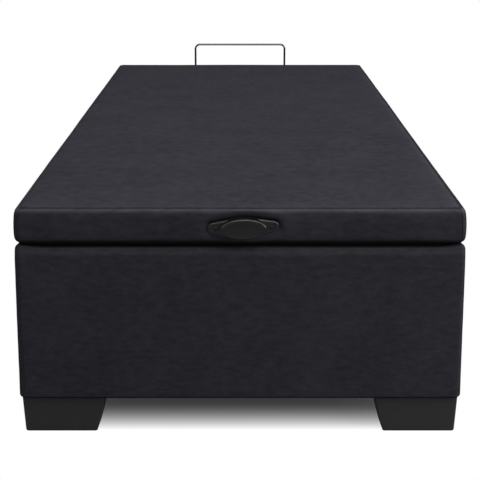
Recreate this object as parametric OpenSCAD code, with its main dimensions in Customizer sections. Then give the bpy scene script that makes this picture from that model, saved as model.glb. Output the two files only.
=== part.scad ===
// Upholstered storage bed base with a gas-lift lid, single size.
// Millimetres, +Z up, +Y towards the hinge end, standing on z = 0 with the
// bounding box centred on the Z axis. The photographed end is at -Y.

/* [Bed] */
// Width over the upholstered lid
bed_w = 900; // [760:5:1600]
// Length over the upholstered lid
bed_l = 2000; // [1700:5:2200]
// Height of the feet
foot_h = 79; // [60:1:110]
// Height of the box from the feet to the lid seam
box_h = 331; // [320:1:420]
// Height of the lid from the seam to its top edge
lid_h = 72; // [60:1:95]
// Angle to which the gas struts open the lid
open_angle = 50; // [35:1:54]

/* [Lid] */
// Rise of the padded top above its edge seam
lid_crown = 4; // [1:0.5:8]
// Outward swell of the padded sides
lid_bulge = 1.5; // [1:0.5:4]
// Corner radius of the lid seen from above
lid_corner_r = 14; // [11:1:30]
// Radius of the lid's lower edge
lid_lower_r = 10; // [6:0.5:12]
// Radius of the lid's upper edge
lid_upper_r = 10; // [5:0.5:12]
// Thickness of the lid's upholstery cloth and wadding
lid_cloth = 2; // [1.5:0.1:3]
// Foam over the deck board
top_foam = 12; // [8:1:18]
// Foam round the sides of the frame
side_foam = 7; // [4:0.5:9]
// Thickness of the deck board
deck_t = 9; // [6:1:12]
// Width of the lid's frame rails
rail_w = 45; // [38:1:60]
// Width of the cross slats
slat_w = 70; // [40:1:100]
// Thickness of the cross slats
slat_t = 20; // [12:1:24]
// Number of cross slats
slat_n = 5; // [3:1:8]

/* [Box] */
// Distance by which the lid stands out past the box at the front and sides
overhang = 1; // [0:0.5:6]
// Thickness of the box's side boards
board_t = 16; // [12:1:22]
// Thickness of the box's upholstery cloth and wadding
box_cloth = 3; // [2:0.5:4]
// Corner radius of the box seen from above
box_corner_r = 12; // [8:1:20]
// Width of the soft rounding along the box's upper edge
box_edge_in = 12; // [8:0.5:14]
// Height of that rounding
box_edge_h = 20; // [12:0.5:26]
// Wadding over the top edges of the boards
edge_pad = 8; // [5:0.5:12]
// Outward swell of the box's cloth low down
box_swell = 3; // [0.5:0.5:4]
// Width of the square corner posts
post_w = 44; // [30:1:55]
// Height of the floor bearers and the foot blocks
bearer_h = 30; // [22:1:40]
// Width of the floor bearers
bearer_w = 60; // [30:1:90]
// Number of floor bearers
bearer_n = 5; // [3:1:8]
// Thickness of the storage floor panel
floor_t = 5; // [3:1:9]

/* [Feet] */
// Width of a foot where it meets the box
foot_w = 172; // [120:1:200]
// Depth of a foot where it meets the box
foot_d = 80; // [60:1:110]
// Distance from the box's side to the foot
foot_side_gap = 0; // [0:0.5:12]
// Distance from the box's front to the foot
foot_front_gap = 6; // [1:0.5:20]
// Diameter of the threaded stud that holds a foot
stud_d = 8; // [6:1:10]

/* [Pull handle] */
// Width over both screw ears
pull_w = 142; // [120:1:170]
// Width of the cup
cup_w = 92; // [76:1:96]
// Height of the cup
cup_h = 40; // [36:1:46]
// Distance by which the cup stands out from the lid
cup_d = 17; // [14:1:26]
// Distance between the two screws
pull_pitch = 110; // [106:1:116]
// Offset of the pull from the bed's centre line
pull_x = 7; // [-20:1:20]
// Tilt of the pull as it was screwed on
pull_tilt = 1.8; // [0:0.1:3]
// Distance of the pull's centre below the middle of the lid's side
pull_drop = 0.5; // [0:0.5:5]

/* [Mattress bar] */
// Width of the retaining bar over its legs
bar_w = 336; // [240:1:400]
// Height of the bar above the lid's top edge
bar_rise = 78; // [50:1:110]
// Diameter of the rod
bar_d = 7; // [6:0.5:10]
// Bend radius of the rod at its centre line
bar_bend_r = 16; // [12:1:30]

/* [Hinges] */
// Width of each butt hinge
hinge_w = 76; // [60:1:100]
// Height of each hinge leaf
hinge_leaf_h = 36; // [30:1:40]
// Distance from the lid's side to the middle of each outer hinge
hinge_in = 140; // [110:5:170]
// Thickness of the hinge leaves
leaf_t = 2.2; // [1.6:0.1:3]
// Outer diameter of the knuckles
knuckle_d = 9; // [8:0.5:12]
// Diameter of the hinge pins
pin_d = 5; // [4:0.5:6]

/* [Gas struts] */
// Height of the box stud above the storage floor
box_stud_rise = 31; // [29:1:40]
// Angle below the level of the hinge axis at which the box stud lies
box_stud_angle = 65; // [62:1:67]
// Distance of the lid stud below the hinge axis
lid_stud_drop = 15; // [13:0.5:18]
// Diameter of the strut's cylinder
tube_d = 22; // [18:1:24]
// Diameter of the strut's rod
rod_d = 10; // [8:1:11]
// Diameter of the pivot studs
pivot_d = 8; // [6:1:10]

/* [Hidden] */
$fn = 48;
hull_fn = 32;

// Clearances and overruns
lid_gap = 0.5;         // between the box's top and the lid at rest
fit = 0.06;            // radial, of every turning or screwed fit
slip = 0.3;            // between neighbours that are only laid together
lay = 0.05;            // between the frame and the upholstery wrapped round it
over = 1;              // by which a cut runs past the face that it opens

// Upholstery details
seam_w = 2.4;          // width of a sewn seam's groove
seam_depth = 1.2;      // depth of a sewn seam's groove
seam_in = 11;          // from the side to the upright corner seams
lid_hem = 36;          // width of the cloth turned under the lid
box_hem = 40;          // width of the cloth turned under the box
box_hem_t = 2;         // thickness of that turned cloth
inner_hem_h = 45;      // height of the cloth turned down inside the box
inner_hem_t = 1.5;     // thickness of that turned cloth
base_cloth_t = 1;      // thickness of the dust cloth under the box
crown_run_share = 0.42; // of the bed's width, from the edge to the flat of the crown
crown_shares = [0.06, 0.2, 0.42, 0.7, 1];
side_shares = [0.25, 0.5, 0.75];
swell_shares = [[0.04, 0.6], [0.14, 1], [0.5, 0.7], [0.8, 0.25], [1, 0]];
arc_steps = 4;
edge_steps = 6;
corner_steps = 5;
crown_round_share = 0.1;

// Heights from the floor up
seam_z = foot_h + box_h;
lid_z = seam_z + lid_gap;
lid_top_z = seam_z + lid_h;
box_w = bed_w - 2 * overhang;
box_front = -bed_l / 2 + overhang;
box_rear = bed_l / 2;
box_l = box_rear - box_front;
box_mid = (box_rear + box_front) / 2;
board_z = foot_h + box_hem_t;
board_top = seam_z - box_cloth - edge_pad;
well_floor = board_z + bearer_h + floor_t;
frame_in = lid_bulge + lid_cloth + side_foam;
rail_z = lid_z + lid_cloth + lay;
deck_z = lid_top_z - lid_cloth - top_foam - deck_t;
rail_h = deck_z - rail_z;
crown_run = bed_w * crown_run_share;
rear_y = bed_l / 2;
front_y = -bed_l / 2;

// Hinge values
hinge_stand = 0.3;     // of the knuckles from the leaves' inner plane
knuckle_n = 5;
knuckle_gap = 0.4;
pin_head_t = 1.4;
pin_head_d = 7.4;
axis_y = rear_y + hinge_stand + knuckle_d / 2;
axis_z = seam_z + lid_gap / 2;
knuckle_w = (hinge_w - (knuckle_n - 1) * knuckle_gap) / knuckle_n;
hinge_places = [hinge_in - bed_w / 2, 0, bed_w / 2 - hinge_in];
leaf_margin = 0.8;     // of each leaf's plate from the knuckles
leaf_screw_share = 0.36;
leaf_screw_drop_share = 0.62;

// Screw values
screw_d = 4;
screw_head_d = 8;
screw_head_t = 2.6;
lid_screw_l = 26;
box_screw_l = 17;
bracket_screw_l = 13;
pull_screw_l = 34;

// Handle values
ear_r = 11;
flange_t = 3;
flange_h = 41;
cup_wall = 2.4;
cup_z = (lid_z + lid_top_z) / 2 - pull_drop;
cup_steps = 48;
mouth_w_share = 0.84;
mouth_top_share = 0.25;
// depth and size of the cup's outer skin from the lid outwards, as shares of its depth and its half axes
cup_profile_shares = [[0, 1.03], [0.35, 1.015], [0.7, 1], [0.88, 0.975], [0.97, 0.935], [1, 0.885],
    [0.985, 0.845], [0.97, 0.82], [0.995, 0.6], [1.02, 0.3]];
cup_inner_shares = [[0, 1.03], [0.6, 1], [0.85, 0.93], [0.97, 0.8]];

// Mattress bar values
bar_plate_w = 20;
bar_plate_t = 3;
bar_plate_h = 34;
bar_plate_z = lid_z + lid_lower_r;
bar_neck_h = 12;       // over which the rod is flattened to the plate
bar_screw_pitch = 18;
bar_stand = 0.4;       // of the rod from the lid's rear
bar_y = rear_y + bar_stand + bar_d / 2;
bar_leg_x = bar_w / 2 - bar_d / 2;
bar_top_z = lid_top_z + bar_rise - bar_d / 2;
bar_leg_z = bar_plate_z + bar_plate_h + bar_neck_h;

// Strut values: both studs lie on one circle round the hinge axis, so the
// strut turns by half the lid's angle
box_stud_drop = axis_z - well_floor - box_stud_rise;
stud_r = box_stud_drop / sin(box_stud_angle);
lid_stud_angle = asin(lid_stud_drop / stud_r);
stud_spread = box_stud_angle - lid_stud_angle;
lid_stud = [axis_y - stud_r * cos(lid_stud_angle), axis_z - lid_stud_drop];
box_stud = [axis_y - stud_r * cos(box_stud_angle), axis_z - box_stud_drop];
strut_min = 2 * stud_r * sin(stud_spread / 2);
strut_max = 2 * stud_r * sin((stud_spread + open_angle) / 2);
strut_tilt = atan2(lid_stud[1] - box_stud[1], box_stud[0] - lid_stud[0]);
eye_d = 20;
eye_w = 10;
eye_neck_d = 12;
box_eye_l = 28;        // from the stud to the cylinder's end
lid_eye_l = 24;        // from the stud to the rod's start
shut_gap = 6;          // between the cylinder and the rod's eye when shut
tube_wall = 1.5;
tube_cap_t = 3;
gland_l = 8;
gland_lip = 2;
piston_l = 10;
piston_play = 1;
tube_end = strut_min - lid_eye_l - shut_gap;
rod_reach = strut_max - (tube_end - gland_l) + piston_l + piston_play;
plate_t = 3;
bracket_l = 52;
bracket_h = 36;
shoulder_d = 13;
board_inner_x = box_w / 2 - box_cloth - board_t;
strut_x = board_inner_x - plate_t - tube_d - eye_w / 2;
clip_t = 1.2;
clip_d = 13;
clip_room = 3;
lid_plate_x = board_inner_x - inner_hem_t - plate_t;
lid_plate_w = 24;
bracket_screw_pitch = 34;

// Foot values: sizes at the top, at the knee and at the sole
foot_outer_draft = 3;
foot_inner_draft = 19.5;
foot_knee_share = 0.35;
foot_knee_draft_share = 0.57;
foot_end_draft = 5;
foot_round = 4;
foot_sole_round = 4;
sole_shares = [[0, 1], [0.12, 0.4], [0.45, 0.1]];
foot_bore = 26;
block_bore = 24;
foot_x = box_w / 2 - foot_side_gap - foot_w / 2;
foot_front_y = box_front + foot_front_gap + foot_d / 2;
foot_rear_y = box_rear - foot_front_gap - foot_d / 2;
block_gap = 2;

// The bounding box's centre along the bed
front_reach = bed_l / 2 + cup_d * cup_profile_shares[9][0];
rear_reach = max(axis_y + knuckle_d / 2, bar_y + bar_d / 2);
mid_y = (rear_reach - front_reach) / 2;

echo(hinge_axis = [0, axis_y - mid_y, axis_z]);
echo(box_stud = [strut_x, box_stud[0] - mid_y, box_stud[1]]);
echo(lid_stud = [strut_x, lid_stud[0] - mid_y, lid_stud[1]]);
echo(strut_min = strut_min, strut_max = strut_max);
echo(rod_tip_clear = strut_min - rod_reach - box_eye_l - tube_cap_t);
echo(cup_z = cup_z, well_floor = well_floor, seam_z = seam_z, mid_y = mid_y, bar_leg_x = bar_leg_x);

// Shared shapes

module placed() {
    translate([0, -mid_y, 0]) children();
}

module on_side(s) {
    if (s < 0) mirror([1, 0, 0]) children();
    else children();
}

// One ring of a loft: a rounded rectangle at height z
function ring(w, l, r, z) = [for (c = [0:3], i = [0:corner_steps])
    let (a = 90 * c + 90 * i / corner_steps,
        x = (c == 0 || c == 3 ? 1 : -1) * (w / 2 - r),
        y = (c < 2 ? 1 : -1) * (l / 2 - r))
    [x + r * cos(a), y + r * sin(a), z]];

// Closed skin through rings of equal length, from the lowest to the highest
module loft(rings) {
    n = len(rings[0]);
    m = len(rings);
    sides = [for (k = [0:m - 2], i = [0:n - 1])
        let (a = k * n + i, b = k * n + (i + 1) % n) each [[a, a + n, b + n], [a, b + n, b]]];
    polyhedron([for (r = rings) each r],
        concat([[for (i = [0:n - 1]) i]], [[for (i = [n - 1:-1:0]) (m - 1) * n + i]], sides));
}

// Upright prism with the plan of the lid or the box, drawn in by inset
module plan_prism(w, l, r, inset, z0, z1) {
    rr = max(r - inset, slip);
    translate([0, 0, z0]) linear_extrude(z1 - z0) {
        square([w - 2 * inset - 2 * rr, l - 2 * inset], center = true);
        square([w - 2 * inset, l - 2 * inset - 2 * rr], center = true);
        for (x = [-1, 1], y = [-1, 1])
            translate([x * (w / 2 - inset - rr), y * (l / 2 - inset - rr)]) circle(rr);
    }
}

module lid_prism(inset, z0, z1) {
    plan_prism(bed_w, bed_l, lid_corner_r, inset, z0, z1);
}

module box_prism(inset, z0, z1) {
    translate([0, box_mid, 0]) plan_prism(box_w, box_l, box_corner_r, inset, z0, z1);
}

// Insets and heights of the padded lid's skin, drawn in by d, from the underside to the crown
function lid_profile(d, groove) = let (
        low = lid_lower_r - d, high = lid_upper_r - d, side = lid_bulge + d,
        z0 = lid_z + d, z1 = lid_top_z - d, zs0 = z0 + low, zs1 = z1 - high)
    concat(
        [for (i = [0:arc_steps]) let (t = 90 * i / arc_steps)
            [side + low - low * sin(t), z0 + low - low * cos(t)]],
        [for (s = side_shares) [side - lid_bulge * sin(180 * s), zs0 + s * (zs1 - zs0)]],
        [for (i = [0:arc_steps]) let (t = 90 * i / (arc_steps + 1))
            [side + high - high * cos(t), zs1 + high * sin(t)]],
        groove ? [[side + high, z1], [side + high + seam_w / 2, z1 - seam_depth], [side + high + seam_w, z1]]
            : [[side + high, z1]],
        [for (s = crown_shares) [side + high + seam_w + s * crown_run, z1 + lid_crown * sin(90 * s)]]);

module lid_form(d, groove) {
    loft([for (p = lid_profile(d, groove))
        ring(bed_w - 2 * p[0], bed_l - 2 * p[0],
            p[0] < lid_corner_r ? lid_corner_r : lid_corner_r + crown_round_share * (p[0] - lid_corner_r),
            p[1])]);
}

// Pan-head screw, its head's underside at the origin and its shank along -Z
module screw(l) {
    translate([0, 0, -l]) cylinder(d = screw_d, h = l + screw_head_t / 2);
    intersection() {
        cylinder(d = screw_head_d, h = screw_head_t);
        translate([0, 0, screw_head_t - screw_head_d]) sphere(screw_head_d);
    }
}

// Hole for such a screw, opened past its head's seat
module screw_hole(l) {
    translate([0, 0, -l - over]) cylinder(d = screw_d + 2 * fit, h = l + 2 * over);
}

// The box

module box_board_space(z0, z1) {
    difference() {
        box_prism(box_cloth, z0, z1);
        box_prism(box_cloth + board_t, z0 - over, z1 + over);
    }
}

module side_board(s) {
    color("#b8946a") placed() difference() {
        intersection() {
            box_board_space(board_z, board_top);
            on_side(s) translate([board_inner_x, box_front, board_z])
                cube([board_t + box_cloth, box_l, board_top - board_z]);
        }
        box_plate_screws(s) screw_hole(bracket_screw_l);
    }
}

module end_board_shape(y_end) {
    intersection() {
        box_board_space(board_z, board_top);
        translate([-board_inner_x, y_end < 0 ? box_front : box_rear - box_cloth - board_t, board_z])
            cube([2 * board_inner_x, board_t + box_cloth, board_top - board_z]);
    }
}

module box_front_board() {
    color("#b8946a") placed() end_board_shape(-1);
}

module box_rear_board() {
    color("#b8946a") placed() difference() {
        end_board_shape(1);
        leaf_screws(-1) screw_hole(box_screw_l);
    }
}

// Posts stand on the foot blocks in the four inner corners
post_x = board_inner_x - inner_hem_t - slip - post_w / 2;
post_front_y = box_front + box_cloth + board_t + inner_hem_t + slip + post_w / 2;
post_rear_y = box_rear - box_cloth - board_t - inner_hem_t - slip - post_w / 2;
post_top = board_top - inner_hem_t;

module at_corners(front, rear, x) {
    for (s = [-1, 1], y = [front, rear]) translate([s * x, y, 0]) children();
}

module post_shape(grow) {
    translate([-post_w / 2 - grow, -post_w / 2 - grow, board_z + bearer_h])
        cube([post_w + 2 * grow, post_w + 2 * grow, post_top - board_z - bearer_h]);
}

module box_corner_posts() {
    color("#c9a878") placed() at_corners(post_front_y, post_rear_y, post_x) post_shape(0);
}

// Foot blocks fill the bottom corners, and the foot studs screw into them
block_w = foot_w - block_gap;
block_d = foot_d + post_w / 2;
block_x = board_inner_x - slip - block_w / 2;
block_front_y = box_front + box_cloth + board_t + slip + block_d / 2;
block_rear_y = box_rear - box_cloth - board_t - slip - block_d / 2;

module foot_blocks() {
    color("#c9a878") placed() difference() {
        at_corners(block_front_y, block_rear_y, block_x)
            translate([-block_w / 2, -block_d / 2, board_z]) cube([block_w, block_d, bearer_h]);
        stud_bores();
    }
}

module floor_bearers() {
    first = block_front_y + block_d / 2 + slip;
    run = block_rear_y - block_front_y - block_d - 2 * slip - bearer_w;
    color("#c9a878") placed() for (i = [0:bearer_n - 1])
        translate([-board_inner_x + slip, first + run * i / (bearer_n - 1), board_z])
            cube([2 * board_inner_x - 2 * slip, bearer_w, bearer_h]);
}

module floor_panel() {
    color("#8a6a48") placed() difference() {
        box_prism(box_cloth + board_t + slip, board_z + bearer_h, well_floor);
        at_corners(post_front_y, post_rear_y, post_x) post_shape(slip);
    }
}

// Upright seam grooves near the corners of both ends
module corner_seams(w, front, rear, z0, z1) {
    for (s = [-1, 1], y = [front, rear])
        translate([s * (w / 2 - seam_in), y, z0]) rotate([0, 0, 45])
            translate([-seam_depth / 2, -seam_depth / 2, 0]) cube([seam_depth, seam_depth, z1 - z0]);
}

function box_profile() =
    let (low = box_hem_t, side = seam_z - hinge_leaf_h - edge_pad - foot_h - low)
    concat(
        [for (i = [0:arc_steps]) let (t = 90 * i / arc_steps)
            [low - low * sin(t), foot_h + low - low * cos(t)]],
        [for (p = swell_shares) [-box_swell * p[1], foot_h + low + side * p[0]]],
        [for (i = [0:edge_steps]) let (t = 90 * i / edge_steps)
            [box_edge_in * (1 - cos(t)), seam_z - box_edge_h + box_edge_h * sin(t)]]);

// The sleeve of cloth is turned in over the boards' top edges and under their lower ones
module box_cover() {
    inner = box_cloth + board_t;
    color("#27262b") placed() difference() {
        translate([0, box_mid, 0]) loft([for (p = box_profile())
            ring(box_w - 2 * p[0], box_l - 2 * p[0], box_corner_r, p[1])]);
        box_prism(box_cloth, board_z, board_top - inner_hem_h);
        box_board_space(board_top - inner_hem_h - over, board_top);
        box_prism(inner + inner_hem_t, board_top - inner_hem_h - over, seam_z + over);
        box_prism(box_hem, foot_h - over, board_z + over);
        corner_seams(box_w, box_front, box_rear, foot_h - over, seam_z + over);
        stud_bores();
        leaf_screws(-1) screw_hole(box_screw_l);
    }
}

module base_cloth() {
    color("#202024") placed() difference() {
        box_prism(box_hem + slip, board_z - base_cloth_t, board_z);
        stud_bores();
    }
}

// The feet

function foot_ring(w_out, w_in, d, r, z) = [for (c = [0:3], i = [0:corner_steps])
    let (a = 90 * c + 90 * i / corner_steps,
        x = (c == 0 || c == 3) ? w_out - r : -(w_in - r),
        y = (c < 2 ? 1 : -1) * (d / 2 - r))
    [x + r * cos(a), y + r * sin(a), z]];

// Outer side at +X; the inner side has a knee, below which it draws in more
module foot_shape() {
    knee = foot_h * foot_knee_share;
    half = foot_w / 2;
    outer = function (z) half - foot_outer_draft * (1 - z / foot_h);
    inner_knee = half - foot_inner_draft * foot_knee_draft_share;
    inner_sole = half - foot_inner_draft;
    ends = function (z) foot_d - 2 * foot_end_draft * (1 - z / foot_h);
    sole = foot_sole_round;
    loft(concat(
        [for (p = sole_shares) foot_ring(outer(0) - p[1] * sole, inner_sole - p[1] * sole,
            ends(0) - 2 * p[1] * sole, foot_round, p[0] * sole)],
        [foot_ring(outer(sole), inner_sole, ends(sole), foot_round, sole),
        foot_ring(outer(knee), inner_knee, ends(knee), foot_round, knee),
        foot_ring(half, half, foot_d, foot_round, foot_h)]));
}

module stud_bores() {
    at_corners(foot_front_y, foot_rear_y, foot_x)
        translate([0, 0, foot_h - foot_bore])
            cylinder(d = stud_d + 2 * fit, h = foot_bore + box_hem_t + block_bore);
}

module foot(s, y) {
    color("#26262a") placed() difference() {
        translate([s * foot_x, y, 0]) on_side(s) foot_shape();
        stud_bores();
    }
}

module foot_studs() {
    color("silver") placed() at_corners(foot_front_y, foot_rear_y, foot_x)
        translate([0, 0, foot_h - foot_bore + slip])
            cylinder(d = stud_d, h = foot_bore + box_hem_t + block_bore - 2 * slip);
}

// The hinges: s is -1 for the leaves on the box and +1 for those on the lid

module leaf_screws(s) {
    plate_h = hinge_leaf_h - knuckle_d / 2 - leaf_margin;
    for (x = hinge_places, i = [-1, 0, 1])
        translate([x + i * hinge_w * leaf_screw_share, rear_y + leaf_t,
            axis_z + s * (knuckle_d / 2 + leaf_margin + plate_h * (i == 0 ? 1 - leaf_screw_drop_share / 2
                : leaf_screw_drop_share / 2 + leaf_screw_share / 2))])
            rotate([-90, 0, 0]) children();
}

module knuckles(s, d, grow) {
    for (k = [0:knuckle_n - 1]) if ((k % 2 == 0) == (s < 0))
        translate([-hinge_w / 2 + k * (knuckle_w + knuckle_gap) - grow, 0, 0]) rotate([0, 90, 0])
            cylinder(d = d, h = knuckle_w + 2 * grow);
}

module hinge_leaves(s) {
    near = knuckle_d / 2 + leaf_margin;
    difference() {
        for (x = hinge_places) translate([x, 0, axis_z]) {
            translate([-hinge_w / 2, rear_y, s < 0 ? -hinge_leaf_h : near])
                cube([hinge_w, leaf_t, hinge_leaf_h - near]);
            for (k = [0:knuckle_n - 1]) if ((k % 2 == 0) == (s < 0))
                translate([-hinge_w / 2 + k * (knuckle_w + knuckle_gap), rear_y, s < 0 ? -near - over : 0])
                    cube([knuckle_w, leaf_t, near + over]);
            translate([0, axis_y, 0]) knuckles(s, knuckle_d, 0);
        }
        for (x = hinge_places) translate([x - hinge_w / 2 - over, axis_y, axis_z]) rotate([0, 90, 0])
            cylinder(d = pin_d + 2 * fit, h = hinge_w + 2 * over);
        leaf_screws(s) screw_hole(lid_screw_l);
    }
}

module hinge_box_leaves() {
    color("silver") placed() hinge_leaves(-1);
}

module hinge_lid_leaves() {
    color("silver") placed() hinge_leaves(1);
}

module hinge_pins() {
    color("gainsboro") placed() for (x = hinge_places) translate([x, axis_y, axis_z]) rotate([0, 90, 0]) {
        translate([0, 0, -hinge_w / 2 - fit]) cylinder(d = pin_d, h = hinge_w + 2 * fit);
        for (e = [-1, 1]) translate([0, 0, e * (hinge_w / 2 + fit + pin_head_t / 2)])
            cylinder(d = pin_head_d, h = pin_head_t, center = true);
    }
}

module hinge_box_screws() {
    color("silver") placed() leaf_screws(-1) screw(box_screw_l);
}

module hinge_lid_screws() {
    color("silver") placed() leaf_screws(1) screw(lid_screw_l);
}

// The lid's frame

module lid_frame_block(x0, y0, w, l) {
    translate([x0, y0, rail_z]) cube([w, l, rail_h]);
}

frame_x = bed_w / 2 - frame_in;
frame_y = bed_l / 2 - frame_in;

module lid_side_rail(s) {
    color("#c9a878") placed() difference() {
        intersection() {
            on_side(s) lid_frame_block(frame_x - rail_w, -frame_y, rail_w, 2 * frame_y);
            lid_prism(frame_in, rail_z, deck_z);
        }
        on_side(s) lid_plate_holes();
    }
}

module lid_rail_front() {
    color("#c9a878") placed() difference() {
        lid_frame_block(-frame_x + rail_w, -frame_y, 2 * (frame_x - rail_w), rail_w);
        at_pull() pull_screw_places() screw_hole(pull_screw_l);
    }
}

module lid_rail_rear() {
    color("#c9a878") placed() difference() {
        lid_frame_block(-frame_x + rail_w, frame_y - rail_w, 2 * (frame_x - rail_w), rail_w);
        leaf_screws(1) screw_hole(lid_screw_l);
        bar_screw_places() screw_hole(lid_screw_l);
    }
}

module lid_slats() {
    run = 2 * (frame_y - rail_w) - slat_w;
    color("#d2b48c") placed() for (i = [1:slat_n])
        translate([-frame_x + rail_w + slip, -frame_y + rail_w + run * i / (slat_n + 1), deck_z - slat_t])
            cube([2 * (frame_x - rail_w - slip), slat_w, slat_t]);
}

module lid_deck() {
    color("#b8946a") placed() lid_prism(frame_in, deck_z, deck_z + deck_t);
}

// The lid's upholstery

module lid_foam() {
    color("#d8cfae") placed() difference() {
        lid_form(lid_cloth, false);
        lid_prism(frame_in - lay, lid_z, deck_z + deck_t + lay);
        lid_mount_holes();
    }
}

module lid_mount_holes() {
    leaf_screws(1) screw_hole(lid_screw_l);
    bar_screw_places() screw_hole(lid_screw_l);
    at_pull() pull_screw_places() screw_hole(pull_screw_l);
}

module lid_cover() {
    color("#2b2a30") placed() difference() {
        lid_form(0, true);
        lid_form(lid_cloth, false);
        lid_prism(frame_in - lay, lid_z + lid_cloth, deck_z);
        lid_prism(frame_in + lid_hem, lid_z - over, lid_z + lid_cloth + over);
        lid_mount_holes();
        at_lid_brackets() lid_plate_holes();
    }
}

module lid_lining() {
    color("#202024") placed() difference() {
        lid_prism(frame_in + lid_hem + slip, lid_z, lid_z + lid_cloth);
        at_lid_brackets() lid_plate_holes();
    }
}

// The pull handle: drawn lying on its back with its face towards +Z

module at_pull() {
    translate([pull_x, front_y, cup_z]) rotate([0, -pull_tilt, 0]) rotate([90, 0, 0]) children();
}

module pull_screw_places() {
    for (x = [-1, 1]) translate([x * pull_pitch / 2, 0, flange_t]) children();
}

function cup_rings(shares, d, w, h) = [for (p = shares)
    [for (i = [0:cup_steps - 1]) let (a = 360 * i / cup_steps)
        [p[1] * w / 2 * cos(a), p[1] * h / 2 * sin(a), p[0] * d]]];

module pull_handle() {
    inner_w = cup_w - 2 * cup_wall;
    inner_h = cup_h - 2 * cup_wall;
    color("#1c1c1f") placed() at_pull() difference() {
        union() {
            linear_extrude(flange_t) hull() {
                for (x = [-1, 1]) translate([x * (pull_w / 2 - ear_r), 0]) circle(ear_r, $fn = hull_fn);
                polygon([for (i = [0:cup_steps - 1]) let (a = 360 * i / cup_steps)
                    [cup_w / 2 * cos(a), flange_h / 2 * sin(a)]]);
            }
            loft(cup_rings(cup_profile_shares, cup_d, cup_w, cup_h));
        }
        translate([0, 0, -over])
            loft(cup_rings(cup_inner_shares, cup_d - cup_wall + over, inner_w, inner_h));
        translate([-cup_w * mouth_w_share / 2, -cup_h, -over])
            cube([cup_w * mouth_w_share, cup_h * (1 - mouth_top_share), cup_d - cup_wall + over]);
        pull_screw_places() screw_hole(pull_screw_l);
    }
}

module pull_screws() {
    color("#3a3a3e") placed() at_pull() pull_screw_places() screw(pull_screw_l);
}

// The mattress bar behind the lid: a bent rod with flattened, drilled ends

module bar_screw_places() {
    middle = bar_plate_z + bar_plate_h / 2;
    for (s = [-1, 1], k = [-1, 1])
        translate([s * bar_leg_x, rear_y + bar_plate_t, middle + k * bar_screw_pitch / 2])
            rotate([-90, 0, 0]) children();
}

module bar_end() {
    translate([-bar_plate_w / 2, rear_y, bar_plate_z]) cube([bar_plate_w, bar_plate_t, bar_plate_h]);
    hull() {
        translate([-bar_plate_w / 2, rear_y, bar_plate_z + bar_plate_h - slip])
            cube([bar_plate_w, bar_plate_t, slip]);
        translate([0, bar_y, bar_leg_z - slip]) cylinder(d = bar_d, h = slip, $fn = hull_fn);
    }
    translate([0, bar_y, bar_leg_z - slip])
        cylinder(d = bar_d, h = bar_top_z - bar_bend_r - bar_leg_z + slip);
    translate([-bar_bend_r, bar_y, bar_top_z - bar_bend_r]) rotate([90, 0, 0])
        rotate_extrude(angle = 90) translate([bar_bend_r, 0]) circle(d = bar_d);
}

module mattress_bar() {
    color("gainsboro") placed() difference() {
        union() {
            for (s = [-1, 1]) on_side(s) translate([bar_leg_x, 0, 0]) bar_end();
            translate([-bar_leg_x + bar_bend_r, bar_y, bar_top_z]) rotate([0, 90, 0])
                cylinder(d = bar_d, h = 2 * (bar_leg_x - bar_bend_r));
        }
        bar_screw_places() screw_hole(lid_screw_l);
    }
}

module bar_screws() {
    color("silver") placed() bar_screw_places() screw(lid_screw_l);
}

// The gas struts. In a strut's own frame the stud is at the origin, +X is
// outwards and +Z runs from the box stud towards the lid stud.

module at_box_stud() {
    translate([strut_x, box_stud[0], box_stud[1]]) rotate([90 - strut_tilt, 0, 0]) children();
}

module at_lid_stud() {
    translate([strut_x, lid_stud[0], lid_stud[1]]) rotate([90 - strut_tilt, 0, 0]) children();
}

module across(d, x0, x1) {
    translate([x0, 0, 0]) rotate([0, 90, 0]) cylinder(d = d, h = x1 - x0);
}

// Stud with a shoulder, from the plate at x1 inwards through the eye
module pivot_stud(x1) {
    across(pivot_d, -eye_w / 2 - clip_room, x1);
    across(shoulder_d, eye_w / 2 + slip, x1);
}

module stud_clip() {
    difference() {
        across(clip_d, -eye_w / 2 - slip - clip_t, -eye_w / 2 - slip);
        across(pivot_d + 2 * fit, -eye_w, 0);
    }
}

module box_plate_screws(s) {
    on_side(s) for (k = [-1, 1])
        translate([board_inner_x - plate_t, box_stud[0], box_stud[1] + k * bracket_screw_pitch / 2])
            rotate([0, -90, 0]) children();
}

module strut_box_bracket(s) {
    color("#8d9095") placed() difference() {
        on_side(s) {
            translate([board_inner_x - plate_t, box_stud[0] - bracket_h / 2, box_stud[1] - bracket_l / 2])
                cube([plate_t, bracket_h, bracket_l]);
            translate([strut_x, box_stud[0], box_stud[1]]) pivot_stud(board_inner_x - plate_t / 2 - strut_x);
        }
        box_plate_screws(s) screw_hole(bracket_screw_l);
    }
}

module box_bracket_screws() {
    color("silver") placed() for (s = [-1, 1]) box_plate_screws(s) screw(bracket_screw_l);
}

module box_stud_clips() {
    color("#55585c") placed() for (s = [-1, 1]) on_side(s)
        translate([strut_x, box_stud[0], box_stud[1]]) stud_clip();
}

module at_lid_brackets() {
    for (s = [-1, 1]) on_side(s) children();
}

module lid_plate_screws() {
    for (k = [-1, 1])
        translate([lid_plate_x - lid_plate_w / 2, lid_stud[0] + k * bracket_screw_pitch / 2,
                lid_z - plate_t])
            rotate([180, 0, 0]) children();
}

module lid_plate_holes() {
    lid_plate_screws() screw_hole(bracket_screw_l);
}

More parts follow.
